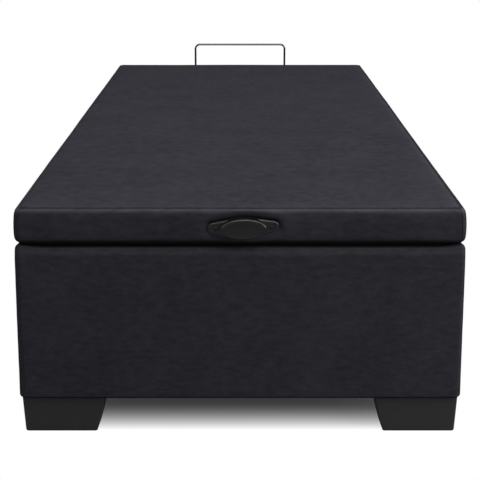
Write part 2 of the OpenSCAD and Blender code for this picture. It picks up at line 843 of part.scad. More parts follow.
// Angle plate under the rail, with the stud on its hanging leg
module strut_lid_bracket(s) {
    drop = lid_z - lid_stud[1] + eye_d / 2;
    color("#8d9095") placed() on_side(s) difference() {
        union() {
            translate([lid_plate_x - lid_plate_w, lid_stud[0] - bracket_l / 2, lid_z - plate_t])
                cube([lid_plate_w, bracket_l, plate_t]);
            translate([lid_plate_x - plate_t, lid_stud[0] - eye_d / 2, lid_z - drop])
                cube([plate_t, eye_d, drop]);
            translate([strut_x, lid_stud[0], lid_stud[1]]) pivot_stud(lid_plate_x - plate_t / 2 - strut_x);
        }
        lid_plate_holes();
    }
}

module lid_bracket_screws() {
    color("silver") placed() at_lid_brackets() lid_plate_screws() screw(bracket_screw_l);
}

module lid_stud_clips() {
    color("#55585c") placed() at_lid_brackets()
        translate([strut_x, lid_stud[0], lid_stud[1]]) stud_clip();
}

module eye_end(l) {
    difference() {
        union() {
            across(eye_d, -eye_w / 2, eye_w / 2);
            cylinder(d = eye_neck_d - 2 * tube_wall, h = l);
        }
        across(pivot_d + 2 * fit, -eye_w, eye_w);
    }
}

module strut_cylinder(s) {
    color("#2e2f33") placed() on_side(s) at_box_stud() {
        eye_end(box_eye_l + over);
        translate([0, 0, box_eye_l]) difference() {
            cylinder(d = tube_d, h = tube_end - box_eye_l);
            translate([0, 0, tube_cap_t])
                cylinder(d = tube_d - 2 * tube_wall, h = tube_end - box_eye_l);
        }
    }
}

module strut_gland(s) {
    color("#151517") placed() on_side(s) at_box_stud() difference() {
        union() {
            translate([0, 0, tube_end - gland_l])
                cylinder(d = tube_d - 2 * tube_wall - 2 * fit, h = gland_l);
            translate([0, 0, tube_end]) cylinder(d = tube_d - tube_wall, h = gland_lip);
        }
        translate([0, 0, tube_end - gland_l - over])
            cylinder(d = rod_d + slip, h = gland_l + gland_lip + 2 * over);
    }
}

module strut_rod(s) {
    color("gainsboro") placed() on_side(s) at_lid_stud() rotate([180, 0, 0]) {
        eye_end(lid_eye_l + over);
        translate([0, 0, lid_eye_l]) cylinder(d = rod_d, h = rod_reach - piston_l - lid_eye_l);
        translate([0, 0, rod_reach - piston_l - over]) cylinder(d = rod_d / 2, h = piston_l + over);
    }
}

module strut_piston(s) {
    color("#6d7075") placed() on_side(s) at_lid_stud() rotate([180, 0, 0])
        translate([0, 0, rod_reach - piston_l]) difference() {
            cylinder(d = tube_d - 2 * tube_wall - slip, h = piston_l);
            translate([0, 0, -over]) cylinder(d = rod_d / 2 + 2 * fit, h = piston_l + 2 * over);
        }
}

side_board(-1);  // box_side_left
side_board(1);  // box_side_right
box_front_board();
box_rear_board();
box_corner_posts();
foot_blocks();
floor_bearers();
floor_panel();
box_cover();
base_cloth();
foot(-1, foot_front_y);  // foot_front_left
foot(1, foot_front_y);  // foot_front_right
foot(-1, foot_rear_y);  // foot_rear_left
foot(1, foot_rear_y);  // foot_rear_right
foot_studs();
hinge_box_leaves();
hinge_pins();
hinge_box_screws();
strut_box_bracket(-1);  // strut_box_bracket_left
strut_box_bracket(1);  // strut_box_bracket_right
box_bracket_screws();
box_stud_clips();
lid_side_rail(-1);  // lid_rail_left
lid_side_rail(1);  // lid_rail_right
lid_rail_front();
lid_rail_rear();
lid_slats();
lid_deck();
lid_foam();
lid_cover();
lid_lining();
pull_handle();
pull_screws();
mattress_bar();
bar_screws();
hinge_lid_leaves();
hinge_lid_screws();
strut_lid_bracket(-1);  // strut_lid_bracket_left
strut_lid_bracket(1);  // strut_lid_bracket_right
lid_bracket_screws();
lid_stud_clips();
strut_cylinder(-1);  // strut_cylinder_left
strut_cylinder(1);  // strut_cylinder_right
strut_gland(-1);  // strut_gland_left
strut_gland(1);  // strut_gland_right
strut_rod(-1);  // strut_rod_left
strut_rod(1);  // strut_rod_right
strut_piston(-1);  // strut_piston_left
strut_piston(1);  // strut_piston_right
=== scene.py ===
import math

import bmesh
import bpy
import numpy as np
from mathutils import Matrix, Vector, noise


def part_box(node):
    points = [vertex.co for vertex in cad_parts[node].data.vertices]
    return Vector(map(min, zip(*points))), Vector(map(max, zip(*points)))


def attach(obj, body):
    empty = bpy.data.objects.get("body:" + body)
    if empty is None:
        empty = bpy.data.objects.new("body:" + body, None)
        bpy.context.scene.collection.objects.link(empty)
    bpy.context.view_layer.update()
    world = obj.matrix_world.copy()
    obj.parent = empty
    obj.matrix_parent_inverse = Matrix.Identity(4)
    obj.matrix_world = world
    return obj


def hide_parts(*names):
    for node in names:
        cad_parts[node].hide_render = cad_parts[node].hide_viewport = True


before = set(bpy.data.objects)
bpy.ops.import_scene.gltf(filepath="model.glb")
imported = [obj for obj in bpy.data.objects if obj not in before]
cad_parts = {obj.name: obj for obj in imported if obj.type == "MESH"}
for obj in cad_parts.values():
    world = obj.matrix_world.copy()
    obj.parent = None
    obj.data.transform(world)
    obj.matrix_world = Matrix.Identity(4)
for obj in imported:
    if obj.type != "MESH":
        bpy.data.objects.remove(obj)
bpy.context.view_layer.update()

# The photographer's camera
# It stands a little over two metres in front of the bed, at about waist height, and looks down on the
# lid. A long lens keeps the upright edges nearly upright.
MM = 0.001
PHOTO_SIZE = 480
FOCAL_PIXELS = 1109
AXIS_ROW = 192
SENSOR_WIDTH = 36
CAMERA_PLACE = (0, -3.094, 1.069)
CAMERA_PITCH = math.radians(14.7)

lens = bpy.data.cameras.new("photo_camera")
lens.sensor_width = SENSOR_WIDTH
lens.lens = SENSOR_WIDTH * FOCAL_PIXELS / PHOTO_SIZE
lens.shift_y = (AXIS_ROW - PHOTO_SIZE / 2) / PHOTO_SIZE
camera = bpy.data.objects.new("photo_camera", lens)
camera.location = CAMERA_PLACE
camera.rotation_euler = (math.pi / 2 - CAMERA_PITCH, 0, 0)
bpy.context.scene.collection.objects.link(camera)
bpy.context.scene.camera = camera
bpy.context.scene.view_settings.view_transform = "Standard"


# The studio: a white paper floor and white surroundings
# The paper is matt and pale. Under the bed the camera sees it as the lamps light it, with the bed's
# shadow, mixed with a white glow of its own: a faint painted glow deep under the bed that grows to full
# white just inside the bed's edge, which paints the shadow's soft fall. From the bed's edge outwards it
# is the overexposed white of a studio photograph.
FLOOR_SIZE = 60
PAPER_PALE = "#aaaaaa"
# where the painted shadow fall starts and ends inside the bed's edge, how it curves, and the faint painted
# glow deepest under the bed
SHADOW_START = 170 * MM
SHADOW_END = 20 * MM
SHADOW_CURVE = 2.7
SHADOW_LEVEL = 0.035
FILL_LEVEL = 0.2


def linear(colour):
    """The linear RGBA of an sRGB hex value."""
    parts = [int(colour[i:i + 2], 16) / 255 for i in (1, 3, 5)]
    return tuple(c / 12.92 if c <= 0.04045 else ((c + 0.055) / 1.055) ** 2.4 for c in parts) + (1,)


def add_node(owner, kind, settings, links):
    """Adds a node to a material or the world, sets its properties and sockets, and links its inputs to
    the sockets given, or to the first output of the nodes given."""
    node = owner.node_tree.nodes.new(kind)
    for name, value in settings.items():
        if isinstance(name, int) or name in node.inputs:
            node.inputs[name].default_value = value
        else:
            setattr(node, name, value)
    for name, source in links.items():
        output = source.outputs[0] if isinstance(source, bpy.types.Node) else source
        owner.node_tree.links.new(output, node.inputs[name])
    return node


def bare_material(name):
    """A material with an empty node tree."""
    material = bpy.data.materials.new(name)
    material.use_nodes = True
    material.node_tree.nodes.clear()
    return material


def mesh_piece(name, points, faces, material, smooth=True):
    """A new mesh object in the bed's own frame, its faces smooth or flat, with one material."""
    mesh = bpy.data.meshes.new(name)
    mesh.from_pydata([tuple(p) for p in points], [], [tuple(f) for f in faces])
    mesh.materials.append(material)
    mesh.polygons.foreach_set("use_smooth", [smooth] * len(mesh.polygons))
    mesh.update()
    piece = bpy.data.objects.new(name, mesh)
    bpy.context.scene.collection.objects.link(piece)
    return piece


paper = bare_material("white_studio_paper")
place = add_node(paper, "ShaderNodeTexCoord", {}, {}).outputs["Object"]
box_low, box_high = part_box("box_cover")
bed_middle = (box_low + box_high) / 2
bed_half = (box_high - box_low) / 2
from_middle = add_node(paper, "ShaderNodeVectorMath",
                       {"operation": "SUBTRACT", 1: (bed_middle.x, bed_middle.y, 0)}, {0: place})
outward = add_node(paper, "ShaderNodeVectorMath", {"operation": "ABSOLUTE"}, {0: from_middle})
past_edge = add_node(paper, "ShaderNodeVectorMath",
                     {"operation": "SUBTRACT", 1: (bed_half.x, bed_half.y, 0)}, {0: outward})
past_edge = add_node(paper, "ShaderNodeSeparateXYZ", {}, {0: past_edge})
distance = add_node(paper, "ShaderNodeMath", {"operation": "MAXIMUM"},
                    {0: past_edge.outputs["X"], 1: past_edge.outputs["Y"]})
# the white that the camera sees: faint deep under the bed and full just inside its edge, a painted shadow
# fall
painted_shadow_fade = add_node(paper, "ShaderNodeMapRange", {"From Min": -SHADOW_START, "From Max": -SHADOW_END},
                     {"Value": distance})
painted_shadow_fade = add_node(paper, "ShaderNodeMath", {"operation": "POWER", 1: SHADOW_CURVE}, {0: painted_shadow_fade})
painted_shadow_fade = add_node(paper, "ShaderNodeMapRange", {"To Min": SHADOW_LEVEL}, {"Value": painted_shadow_fade})
ray = add_node(paper, "ShaderNodeLightPath", {}, {})
white_share = add_node(paper, "ShaderNodeMath", {"operation": "MULTIPLY"},
                       {0: painted_shadow_fade, 1: ray.outputs["Is Camera Ray"]})
lit_paper = add_node(paper, "ShaderNodeBsdfDiffuse", {"Color": linear(PAPER_PALE)}, {})
pure_white = add_node(paper, "ShaderNodeEmission", {"Color": (1, 1, 1, 1), "Strength": 1.0}, {})
mixed = add_node(paper, "ShaderNodeMixShader", {}, {0: white_share, 1: lit_paper, 2: pure_white})
add_node(paper, "ShaderNodeOutputMaterial", {}, {"Surface": mixed})

half = FLOOR_SIZE / 2
floor = mesh_piece("studio_floor", [(-half, -half, 0), (half, -half, 0), (half, half, 0), (-half, half, 0)],
                   [(0, 1, 2, 3)], paper)

world = bpy.data.worlds.new("studio")
bpy.context.scene.world = world
world.use_nodes = True
world.node_tree.nodes.clear()
ray = add_node(world, "ShaderNodeLightPath", {}, {})
seen = ray.outputs["Is Camera Ray"]
for kind in ("Is Glossy Ray", "Is Transmission Ray"):
    seen = add_node(world, "ShaderNodeMath", {"operation": "MAXIMUM"}, {0: seen, 1: ray.outputs[kind]})
level = add_node(world, "ShaderNodeMapRange", {"To Min": FILL_LEVEL, "To Max": 1.0}, {"Value": seen})
surroundings = add_node(world, "ShaderNodeBackground", {"Color": (1, 1, 1, 1)}, {"Strength": level})
add_node(world, "ShaderNodeOutputWorld", {}, {"Surface": surroundings})


# The softboxes
# A wide one hangs over the bed's near half and gives most of the light, a smaller one stands at head
# height in front and to the right, and three others fill the sides and the back. Each entry holds a
# place, a width and a height in metres, and watts.
SOFTBOXES = {
    "top_softbox": ((0.4, -1.4, 4.3), 3.4, 3.4, 132),
    "front_softbox": ((2.5, -2.4, 1.8), 1.8, 1.6, 44),
    "left_softbox": ((-4.2, 0.2, 2.2), 2.4, 2.4, 22),
    "right_softbox": ((4.2, -0.4, 2.2), 2.4, 2.4, 50),
    "back_softbox": ((0, 4.8, 2.4), 2.6, 2.0, 14),
}
AIM = Vector((0, 0, 0.3))

for name, (place, width, height, watts) in SOFTBOXES.items():
    light = bpy.data.lights.new(name, "AREA")
    light.shape = "RECTANGLE"
    light.size, light.size_y = width, height
    light.energy = watts
    softbox = bpy.data.objects.new(name, light)
    softbox.location = place
    softbox.rotation_euler = (AIM - Vector(place)).to_track_quat("-Z", "Y").to_euler()
    bpy.context.scene.collection.objects.link(softbox)


# The box's boards and the lid's deck
# They are raw particle board: flakes and dust of softwood pressed with resin, light brown and dull, with
# darker and paler chips a few millimetres long. The boards are screwed and glued into a frame.
CHIP_LENGTH = 5 * MM
CHIP_DUST = 1.25 * MM
CHIP_LIGHT = "#c9a578"
CHIP_MIDDLE = "#b08a5c"
CHIP_DARK = "#7d5a36"


def dress(nodes, material):
    """Gives carried-over pieces their material."""
    for node in nodes:
        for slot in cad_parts[node].material_slots:
            slot.material = material


# a Mix node takes its two colours at its inputs 6 and 7 and gives their mixture at its output 2
chipboard = bare_material("raw_particle_board")
place = add_node(chipboard, "ShaderNodeTexCoord", {}, {}).outputs["Object"]
chips = add_node(chipboard, "ShaderNodeTexVoronoi", {"Scale": 1 / CHIP_LENGTH, "Randomness": 1.0},
                 {"Vector": place})
dust = add_node(chipboard, "ShaderNodeTexNoise", {"Scale": 1 / CHIP_DUST, "Detail": 3.0},
                {"Vector": place})
chip_tone = add_node(chipboard, "ShaderNodeSeparateColor", {}, {"Color": chips.outputs["Color"]})
pale = add_node(chipboard, "ShaderNodeMix",
                {"data_type": "RGBA", 6: linear(CHIP_MIDDLE), 7: linear(CHIP_LIGHT)},
                {0: chip_tone.outputs["Red"]})
dark_share = add_node(chipboard, "ShaderNodeMapRange", {"From Min": 0.72, "From Max": 0.95, "To Max": 0.7},
                      {"Value": chip_tone.outputs["Green"]})
toned = add_node(chipboard, "ShaderNodeMix", {"data_type": "RGBA", 7: linear(CHIP_DARK)},
                 {0: dark_share, 6: pale.outputs[2]})
rough = add_node(chipboard, "ShaderNodeMapRange", {"To Min": 0.7, "To Max": 0.95}, {"Value": dust})
relief = add_node(chipboard, "ShaderNodeBump", {"Strength": 0.5, "Distance": 0.3 * MM}, {"Height": dust})
surface = add_node(chipboard, "ShaderNodeBsdfPrincipled", {"Specular IOR Level": 0.3},
                   {"Base Color": toned.outputs[2], "Roughness": rough, "Normal": relief})
add_node(chipboard, "ShaderNodeOutputMaterial", {}, {"Surface": surface})
dress(["box_side_left", "box_side_right", "box_front_board", "box_rear_board", "lid_deck"], chipboard)


# The posts, foot blocks, bearers, rails and slats
# They are sawn and planed pine. Cut along the trunk, it shows long yellow-brown growth lines, and it is
# dull and slightly furry where the planer passed.
RING_WIDTH = 6 * MM
PINE_LIGHT = "#d8b889"
PINE_DARK = "#b98f58"
GRAIN_STRETCH = 14
# how much the noise changes from one growth line to the next
GROWTH_STEP = 0.08
# the axis along which each piece's grain runs: 0 is x, 1 is y and 2 is z
PINE_ALONG = {"box_corner_posts": 2, "foot_blocks": 0, "floor_bearers": 0, "lid_rail_left": 1,
              "lid_rail_right": 1, "lid_rail_front": 0, "lid_rail_rear": 0, "lid_slats": 0}


def two_toned(material, colours, share, height, relief, settings):
    """Finishes a material whose colour lies between two by a share, and whose skin a pattern raises. The
    relief is a strength and a depth."""
    toned = add_node(material, "ShaderNodeMix",
                     {"data_type": "RGBA", 6: linear(colours[0]), 7: linear(colours[1])}, {0: share})
    raised = add_node(material, "ShaderNodeBump", {"Strength": relief[0], "Distance": relief[1]},
                      {"Height": height})
    surface = add_node(material, "ShaderNodeBsdfPrincipled", settings,
                       {"Base Color": toned.outputs[2], "Normal": raised})
    add_node(material, "ShaderNodeOutputMaterial", {}, {"Surface": surface})


pines = []
for along in range(3):
    pine = bare_material("planed_pine_along_" + "xyz"[along])
    place = add_node(pine, "ShaderNodeTexCoord", {}, {}).outputs["Object"]
    squeeze = [1 / RING_WIDTH] * 3
    squeeze[along] /= GRAIN_STRETCH
    drawn = add_node(pine, "ShaderNodeVectorMath", {"operation": "MULTIPLY", 1: squeeze}, {0: place})
    rings = add_node(pine, "ShaderNodeTexNoise", {"Scale": 0.6, "Detail": 5.0, "Distortion": 0.6},
                     {"Vector": drawn})
    lines = add_node(pine, "ShaderNodeMath", {"operation": "PINGPONG", 1: GROWTH_STEP}, {0: rings})
    share = add_node(pine, "ShaderNodeMapRange", {"From Max": GROWTH_STEP}, {"Value": lines})
    two_toned(pine, (PINE_LIGHT, PINE_DARK), share, share, (0.4, 0.2 * MM),
              {"Roughness": 0.62, "Specular IOR Level": 0.35})
    pines.append(pine)
for node, along in PINE_ALONG.items():
    dress([node], pines[along])


# The storage floor
# It is hardboard: wood fibres pressed hot into a thin dark sheet, smooth and faintly glossy on its face,
# with a fine cloudy mottle. It lies loose on the bearers between the corner posts.
FIBRE_CLOUD = 18 * MM
HARDBOARD_LIGHT = "#7a5635"
HARDBOARD_DARK = "#5e4028"

hardboard = bare_material("pressed_hardboard")
place = add_node(hardboard, "ShaderNodeTexCoord", {}, {}).outputs["Object"]
cloud = add_node(hardboard, "ShaderNodeTexNoise",
                 {"Scale": 1 / FIBRE_CLOUD, "Detail": 8.0, "Roughness": 0.65}, {"Vector": place})
two_toned(hardboard, (HARDBOARD_DARK, HARDBOARD_LIGHT), cloud, cloud, (0.2, 0.2 * MM),
          {"Roughness": 0.42, "Specular IOR Level": 0.4})
dress(["floor_panel"], hardboard)


# The feet
# Each is a block injection-moulded in black polypropylene, drafted on all sides so that it leaves its
# mould, with a spark-eroded satin skin. A threaded stud holds it up against the box.
FOOT_BLACK = "#353537"
# about ten times as coarse as a real spark grain, so that it shows
SPARK_GRAIN = 1.2 * MM


def fine_finish(name, grain_size, detail, roughness, settings, relief=None):
    """A material whose fine grain varies its roughness between two values. Where a relief is given, as a
    strength and a depth, the grain also raises its skin."""
    material = bare_material(name)
    place = add_node(material, "ShaderNodeTexCoord", {}, {}).outputs["Object"]
    grain = add_node(material, "ShaderNodeTexNoise", {"Scale": 1 / grain_size, "Detail": detail},
                     {"Vector": place})
    rough = add_node(material, "ShaderNodeMapRange", {"To Min": roughness[0], "To Max": roughness[1]},
                     {"Value": grain})
    links = {"Roughness": rough}
    if relief:
        links["Normal"] = add_node(material, "ShaderNodeBump",
                                   {"Strength": relief[0], "Distance": relief[1]}, {"Height": grain})
    surface = add_node(material, "ShaderNodeBsdfPrincipled", settings, links)
    add_node(material, "ShaderNodeOutputMaterial", {}, {"Surface": surface})
    return material


foot_plastic = fine_finish("moulded_black_polypropylene", SPARK_GRAIN, 2.0, (0.42, 0.58),
                           {"Base Color": linear(FOOT_BLACK), "Specular IOR Level": 0.1},
                           relief=(0.25, 0.1 * MM))
dress(["foot_front_left", "foot_front_right", "foot_rear_left", "foot_rear_right"], foot_plastic)


# The box's cloth cover
# It is a sleeve of charcoal microfibre suede over thin wadding, sewn from four panels with a seam down
# each corner. It is pulled over the boards, turned in at the top and under at the bottom, and stapled.
# Its brushed nap scatters light, so it looks velvety and cloudy. Its colour is painted paler over edges,
# as a painted highlight, and darker beneath, as painted shade.
CLOTH_DARK = "#252429"
CLOTH_LIGHT = "#39383e"
# the colours of the painted highlight over edges and of the painted shade beneath and in seams
CLOTH_PAINTED_HIGHLIGHT = "#4b4a50"
CLOTH_PAINTED_SHADE = "#111012"
CLOTH_SHEEN = "#cfcbe0"
# how strong the painted highlight over edges is on the box's cover, against the lid's
BOX_HIGHLIGHT_SHARE = 0.3
# about three times as coarse as the real nap, so that it shows
NAP_LENGTH = 3.2 * MM
STROKE_SIZE = 11 * MM
# strokes are about twice as long across and along the bed as they are high
STROKE_SHARES = (0.45, 0.45, 1)
CLOUD_SIZE = 130 * MM
# each pattern's part in how pale the cloth is, and the values that noise keeps between for the most part
STROKE_PART = 0.5
CLOUD_PART = 0.25
NAP_PART = 0.25
NOISE_SPAN = {"From Min": 0.3, "From Max": 0.7}
# how far a face looks up where the cloth turns over an edge, leaves the flat, and turns under: where
# the painted highlight and the painted shade lie, and how dark the painted shade gets
PAINTED_SHADE_DARKNESS = 0.9
TURNED_UP = {"interpolation_type": "SMOOTHSTEP", "From Min": 0.1, "From Max": 0.65}
NOT_FLAT = {"interpolation_type": "SMOOTHSTEP", "From Min": 0.997, "From Max": 0.9}
TURNED_UNDER = {"interpolation_type": "SMOOTHSTEP", "From Min": -0.03, "From Max": -0.6,
                "To Max": PAINTED_SHADE_DARKNESS}
CLOTH_THICKNESS = 1.4 * MM
BOX_CORNER_R = 12 * MM
INNER_CORNER_R = 2 * MM
BOX_EDGE_IN = 8 * MM
BOX_EDGE_HEIGHT = 10.5 * MM
BOX_EDGE_DROP = 1 * MM
EDGE_SOFT_IN = 2.2 * MM
EDGE_SOFT_FALL = 16 * MM
EDGE_SINK = 6.4 * MM
SINK_FALL = 14 * MM
SINK_IN = 18.5 * MM
SINK_WIDTH = 4 * MM
CORNER_REACH = 30 * MM
BOX_SWELL = 4.2 * MM
SWELL_CURVE = 1.2
SOLID_SWELL = 3 * MM
HEM_LIFT = 3.2 * MM
HEM_R = 4.5 * MM
HEM_EDGE_IN = 3 * MM
HEM_EDGE_GAP = 0.2 * MM
HEM_FLAT_IN = 8 * MM
HEM_FLAT_GAP = 0.9 * MM
SIDE_STEPS = 70
SIDE_CROWDING = 1.6
# painted shade darkens the cloth in the gap under the lid, and a painted highlight pales a line below it
GAP_PAINTED_SHADE = 0.95
GAP_PAINTED_SHADE_IN = 10 * MM
BOX_PAINTED_HIGHLIGHT = 0.4
BOX_HIGHLIGHT_DEPTH = 14.5 * MM
BOX_HIGHLIGHT_FALL = 5.5 * MM
BOX_RIM = 20.5 * MM
BOX_RIM_R = 2.5 * MM
BOX_INNER_HEM = 56 * MM
BOX_UNDER_HEM = 40 * MM
SEAM_DEPTH = 1.4 * MM
# degrees round a corner: the seam's place and width, and the place and width of the swell beside it
SEAM_TURN = 29
SEAM_SPREAD = 2.2
SEAM_SWELL_OFF = 6
SEAM_SWELL_SPREAD = 3.0
SEAM_SWELL_SHARE = 0.3
CORNER_TURNS = (0, 8, 15, 20, 23, 25.5, 27.5, 29, 30.5, 32.5, 35, 39, 45)
STRAIGHTS = (240, 150)
# the cloth's slight waves: the height of each, and its lengths along x, y and z in metres
BOX_WAVES = ((0.6 * MM, (0.22, 0.3, 0.16)), (0.2 * MM, (0.05, 0.07, 0.03)))


def ring(half_w, half_l, radius, seam=0.0):
    """Points round a rectangle with round corners, from its front left corner on. A seam draws the
    cloth in near the corners of the two ends and raises it on both sides."""
    points = []
    signs = [(-1, -1), (1, -1), (1, 1), (-1, 1)]
    for side in range(4):
        steps = STRAIGHTS[side % 2]
        face = math.radians(270 + 90 * side)
        ends = []
        for end, turns in ((0, CORNER_TURNS), (1, CORNER_TURNS[::-1][:-1])):
            sx, sy = signs[(side + end) % 4]
            centre = Vector((sx * (half_w - radius), sy * (half_l - radius)))
            arc = []
            for turn in turns:
                angle = face + math.radians(45 - turn) * (1 if end else -1)
                off = abs(turn - SEAM_TURN)
                swell = SEAM_SWELL_SHARE * math.exp(-((off - SEAM_SWELL_OFF) / SEAM_SWELL_SPREAD) ** 2)
                drawn = seam * (math.exp(-(off / SEAM_SPREAD) ** 2) - swell) * (1 - side % 2)
                arc.append(centre + (radius - drawn) * Vector((math.cos(angle), math.sin(angle))))
            ends.append(arc)
        start, stop = ends[0][-1], ends[1][0]
        points += ends[0] + [start.lerp(stop, k / steps) for k in range(1, steps)] + ends[1]
    return points


def loft_faces(count, rings):
    """Quads between rings that each have the same number of points."""
    return [(k + i, k + (i + 1) % count, k + count + (i + 1) % count, k + count + i)
            for k in range(0, (rings - 1) * count, count) for i in range(count)]


def arc(centre, radius, start, end, steps):
    """Points of a profile round a centre, between two angles in degrees, ends included."""
    turns = [math.radians(start + (end - start) * k / steps) for k in range(steps + 1)]
    return [(centre[0] + radius * math.cos(t), centre[1] + radius * math.sin(t)) for t in turns]


def line(start, end, steps):
    """Points of a profile from after its start up to its end."""
    return [tuple(a + (b - a) * k / steps for a, b in zip(start, end)) for k in range(1, steps + 1)]


def unsettle(piece, waves):
    """Moves a mesh's points along their normals. Each wave has a height and a size along x, y and z."""
    mesh = piece.data
    normals = [v.normal.copy() for v in mesh.vertices]
    for vertex, normal in zip(mesh.vertices, normals):
        move = sum(height * noise.noise(Vector([c / s for c, s in zip(vertex.co, sizes)]))
                   for height, sizes in waves)
        vertex.co += move * normal
    mesh.update()


def thicken(piece, thickness):
    """Gives a skin of cloth its thickness, inwards."""
    solid = piece.modifiers.new("cloth_thickness", "SOLIDIFY")
    solid.thickness = thickness
    solid.offset = -1


def mark_rings(piece, name, count, values):
    """Writes a number to every point of each ring of a form, for its material to read."""
    marks = piece.data.attributes.new(name, "FLOAT", "POINT").data
    for k, value in enumerate(values):
        for i in range(k * count, (k + 1) * count):
            marks[i].value = value


suede = bare_material("charcoal_microfibre_suede")
coordinates = add_node(suede, "ShaderNodeTexCoord", {}, {})
place = coordinates.outputs["Object"]
nap = add_node(suede, "ShaderNodeTexNoise", {"Scale": 1 / NAP_LENGTH, "Detail": 3.0, "Roughness": 0.6},
               {"Vector": place})
combed = add_node(suede, "ShaderNodeVectorMath", {"operation": "MULTIPLY", 1: STROKE_SHARES}, {0: place})
strokes = add_node(suede, "ShaderNodeTexNoise",
                   {"Scale": 1 / STROKE_SIZE, "Detail": 4.0, "Roughness": 0.62}, {"Vector": combed})
clouds = add_node(suede, "ShaderNodeTexNoise", {"Scale": 1 / CLOUD_SIZE, "Detail": 2.0}, {"Vector": place})
stroke_part, cloud_part, nap_part = [
    add_node(suede, "ShaderNodeMapRange", {**NOISE_SPAN, "To Max": part}, {"Value": pattern})
    for pattern, part in ((strokes, STROKE_PART), (clouds, CLOUD_PART), (nap, NAP_PART))]
tone = add_node(suede, "ShaderNodeMath", {"operation": "ADD"}, {0: stroke_part, 1: cloud_part})
tone = add_node(suede, "ShaderNodeMath", {"operation": "ADD"}, {0: tone, 1: nap_part})
toned = add_node(suede, "ShaderNodeMix",
                 {"data_type": "RGBA", 6: linear(CLOTH_DARK), 7: linear(CLOTH_LIGHT)}, {0: tone})

# a painted highlight pales it where it bends up over an edge, most on the lid's band and less on the
# box, and along the lines marked for it
upward = add_node(suede, "ShaderNodeSeparateXYZ", {}, {0: coordinates.outputs["Normal"]}).outputs["Z"]
# the marks of the painted highlight over edges, of the painted shade in seams and gaps, and of the other
# painted highlights
drawn = add_node(suede, "ShaderNodeAttribute", {"attribute_name": "painted_edge_light_and_shade"}, {}).outputs["Fac"]
painted_highlight_mark = add_node(suede, "ShaderNodeAttribute", {"attribute_name": "painted_highlight_mark"}, {}).outputs["Fac"]
bent = add_node(suede, "ShaderNodeMapRange", TURNED_UP, {"Value": upward})
not_flat = add_node(suede, "ShaderNodeMapRange", NOT_FLAT, {"Value": upward})
uneven = add_node(suede, "ShaderNodeMapRange", {**NOISE_SPAN, "To Min": 0.5}, {"Value": strokes})
highlight_strength = add_node(suede, "ShaderNodeMapRange", {"To Min": BOX_HIGHLIGHT_SHARE}, {"Value": drawn})
for share in (not_flat, uneven, highlight_strength):
    bent = add_node(suede, "ShaderNodeMath", {"operation": "MULTIPLY"}, {0: bent, 1: share})
painted_highlight_mark = add_node(suede, "ShaderNodeMath", {"operation": "MULTIPLY"}, {0: painted_highlight_mark, 1: uneven})
bent = add_node(suede, "ShaderNodeMath", {"operation": "MAXIMUM"}, {0: bent, 1: painted_highlight_mark})

# painted shade darkens it where it turns under, deep in a seam and in the gap under the lid
under = add_node(suede, "ShaderNodeMapRange", TURNED_UNDER, {"Value": upward})
painted_crease_shade = add_node(suede, "ShaderNodeMapRange", {"From Max": -1, "To Max": PAINTED_SHADE_DARKNESS}, {"Value": drawn})
under = add_node(suede, "ShaderNodeMath", {"operation": "MAXIMUM"}, {0: under, 1: painted_crease_shade})
for colour, share in ((CLOTH_PAINTED_HIGHLIGHT, bent), (CLOTH_PAINTED_SHADE, under)):
    toned = add_node(suede, "ShaderNodeMix", {"data_type": "RGBA", 7: linear(colour)},
                     {0: share, 6: toned.outputs[2]})
relief = add_node(suede, "ShaderNodeBump", {"Strength": 0.5, "Distance": 0.35 * MM}, {"Height": nap})
surface = add_node(suede, "ShaderNodeBsdfPrincipled",
                   {"Roughness": 0.95, "Specular IOR Level": 0.008, "Sheen Weight": 0.02,
                    "Sheen Roughness": 0.5, "Sheen Tint": linear(CLOTH_SHEEN)},
                   {"Base Color": toned.outputs[2], "Normal": relief})
add_node(suede, "ShaderNodeOutputMaterial", {}, {"Surface": surface})

bottom, top = box_low.z + HEM_LIFT, box_high.z - BOX_EDGE_DROP
bed_half -= Vector((SOLID_SWELL, SOLID_SWELL, 0))
profile = [(BOX_RIM, top - BOX_INNER_HEM)]
profile += line(profile[-1], (BOX_RIM, top - BOX_RIM_R), 6)
profile += arc((BOX_RIM - BOX_RIM_R, top - BOX_RIM_R), BOX_RIM_R, 0, 90, 4)[1:]
profile += line(profile[-1], (BOX_EDGE_IN + EDGE_SOFT_IN, top), 6)
side_height = top - bottom - HEM_R
for k in range(1, SIDE_STEPS + 1):
    depth = side_height * (k / SIDE_STEPS) ** SIDE_CROWDING
    turn = 1 - min(1, depth / BOX_EDGE_HEIGHT)
    inset = BOX_EDGE_IN * (1 - math.sqrt(1 - turn ** 2)) + EDGE_SOFT_IN * math.exp(-depth / EDGE_SOFT_FALL)
    swell = BOX_SWELL * (depth / side_height) ** SWELL_CURVE
    profile.append((inset - swell, top - depth))
profile += arc((profile[-1][0] + HEM_R, bottom + HEM_R), HEM_R, 180, 270, 5)[1:]
# the hem runs on close under the boards
board_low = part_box("box_side_left")[0].z
profile += line(profile[-1], (HEM_EDGE_IN, board_low - HEM_EDGE_GAP), 3)
profile += line(profile[-1], (HEM_FLAT_IN, board_low - HEM_FLAT_GAP), 3)
profile += line(profile[-1], (BOX_UNDER_HEM, board_low - HEM_FLAT_GAP), 5)

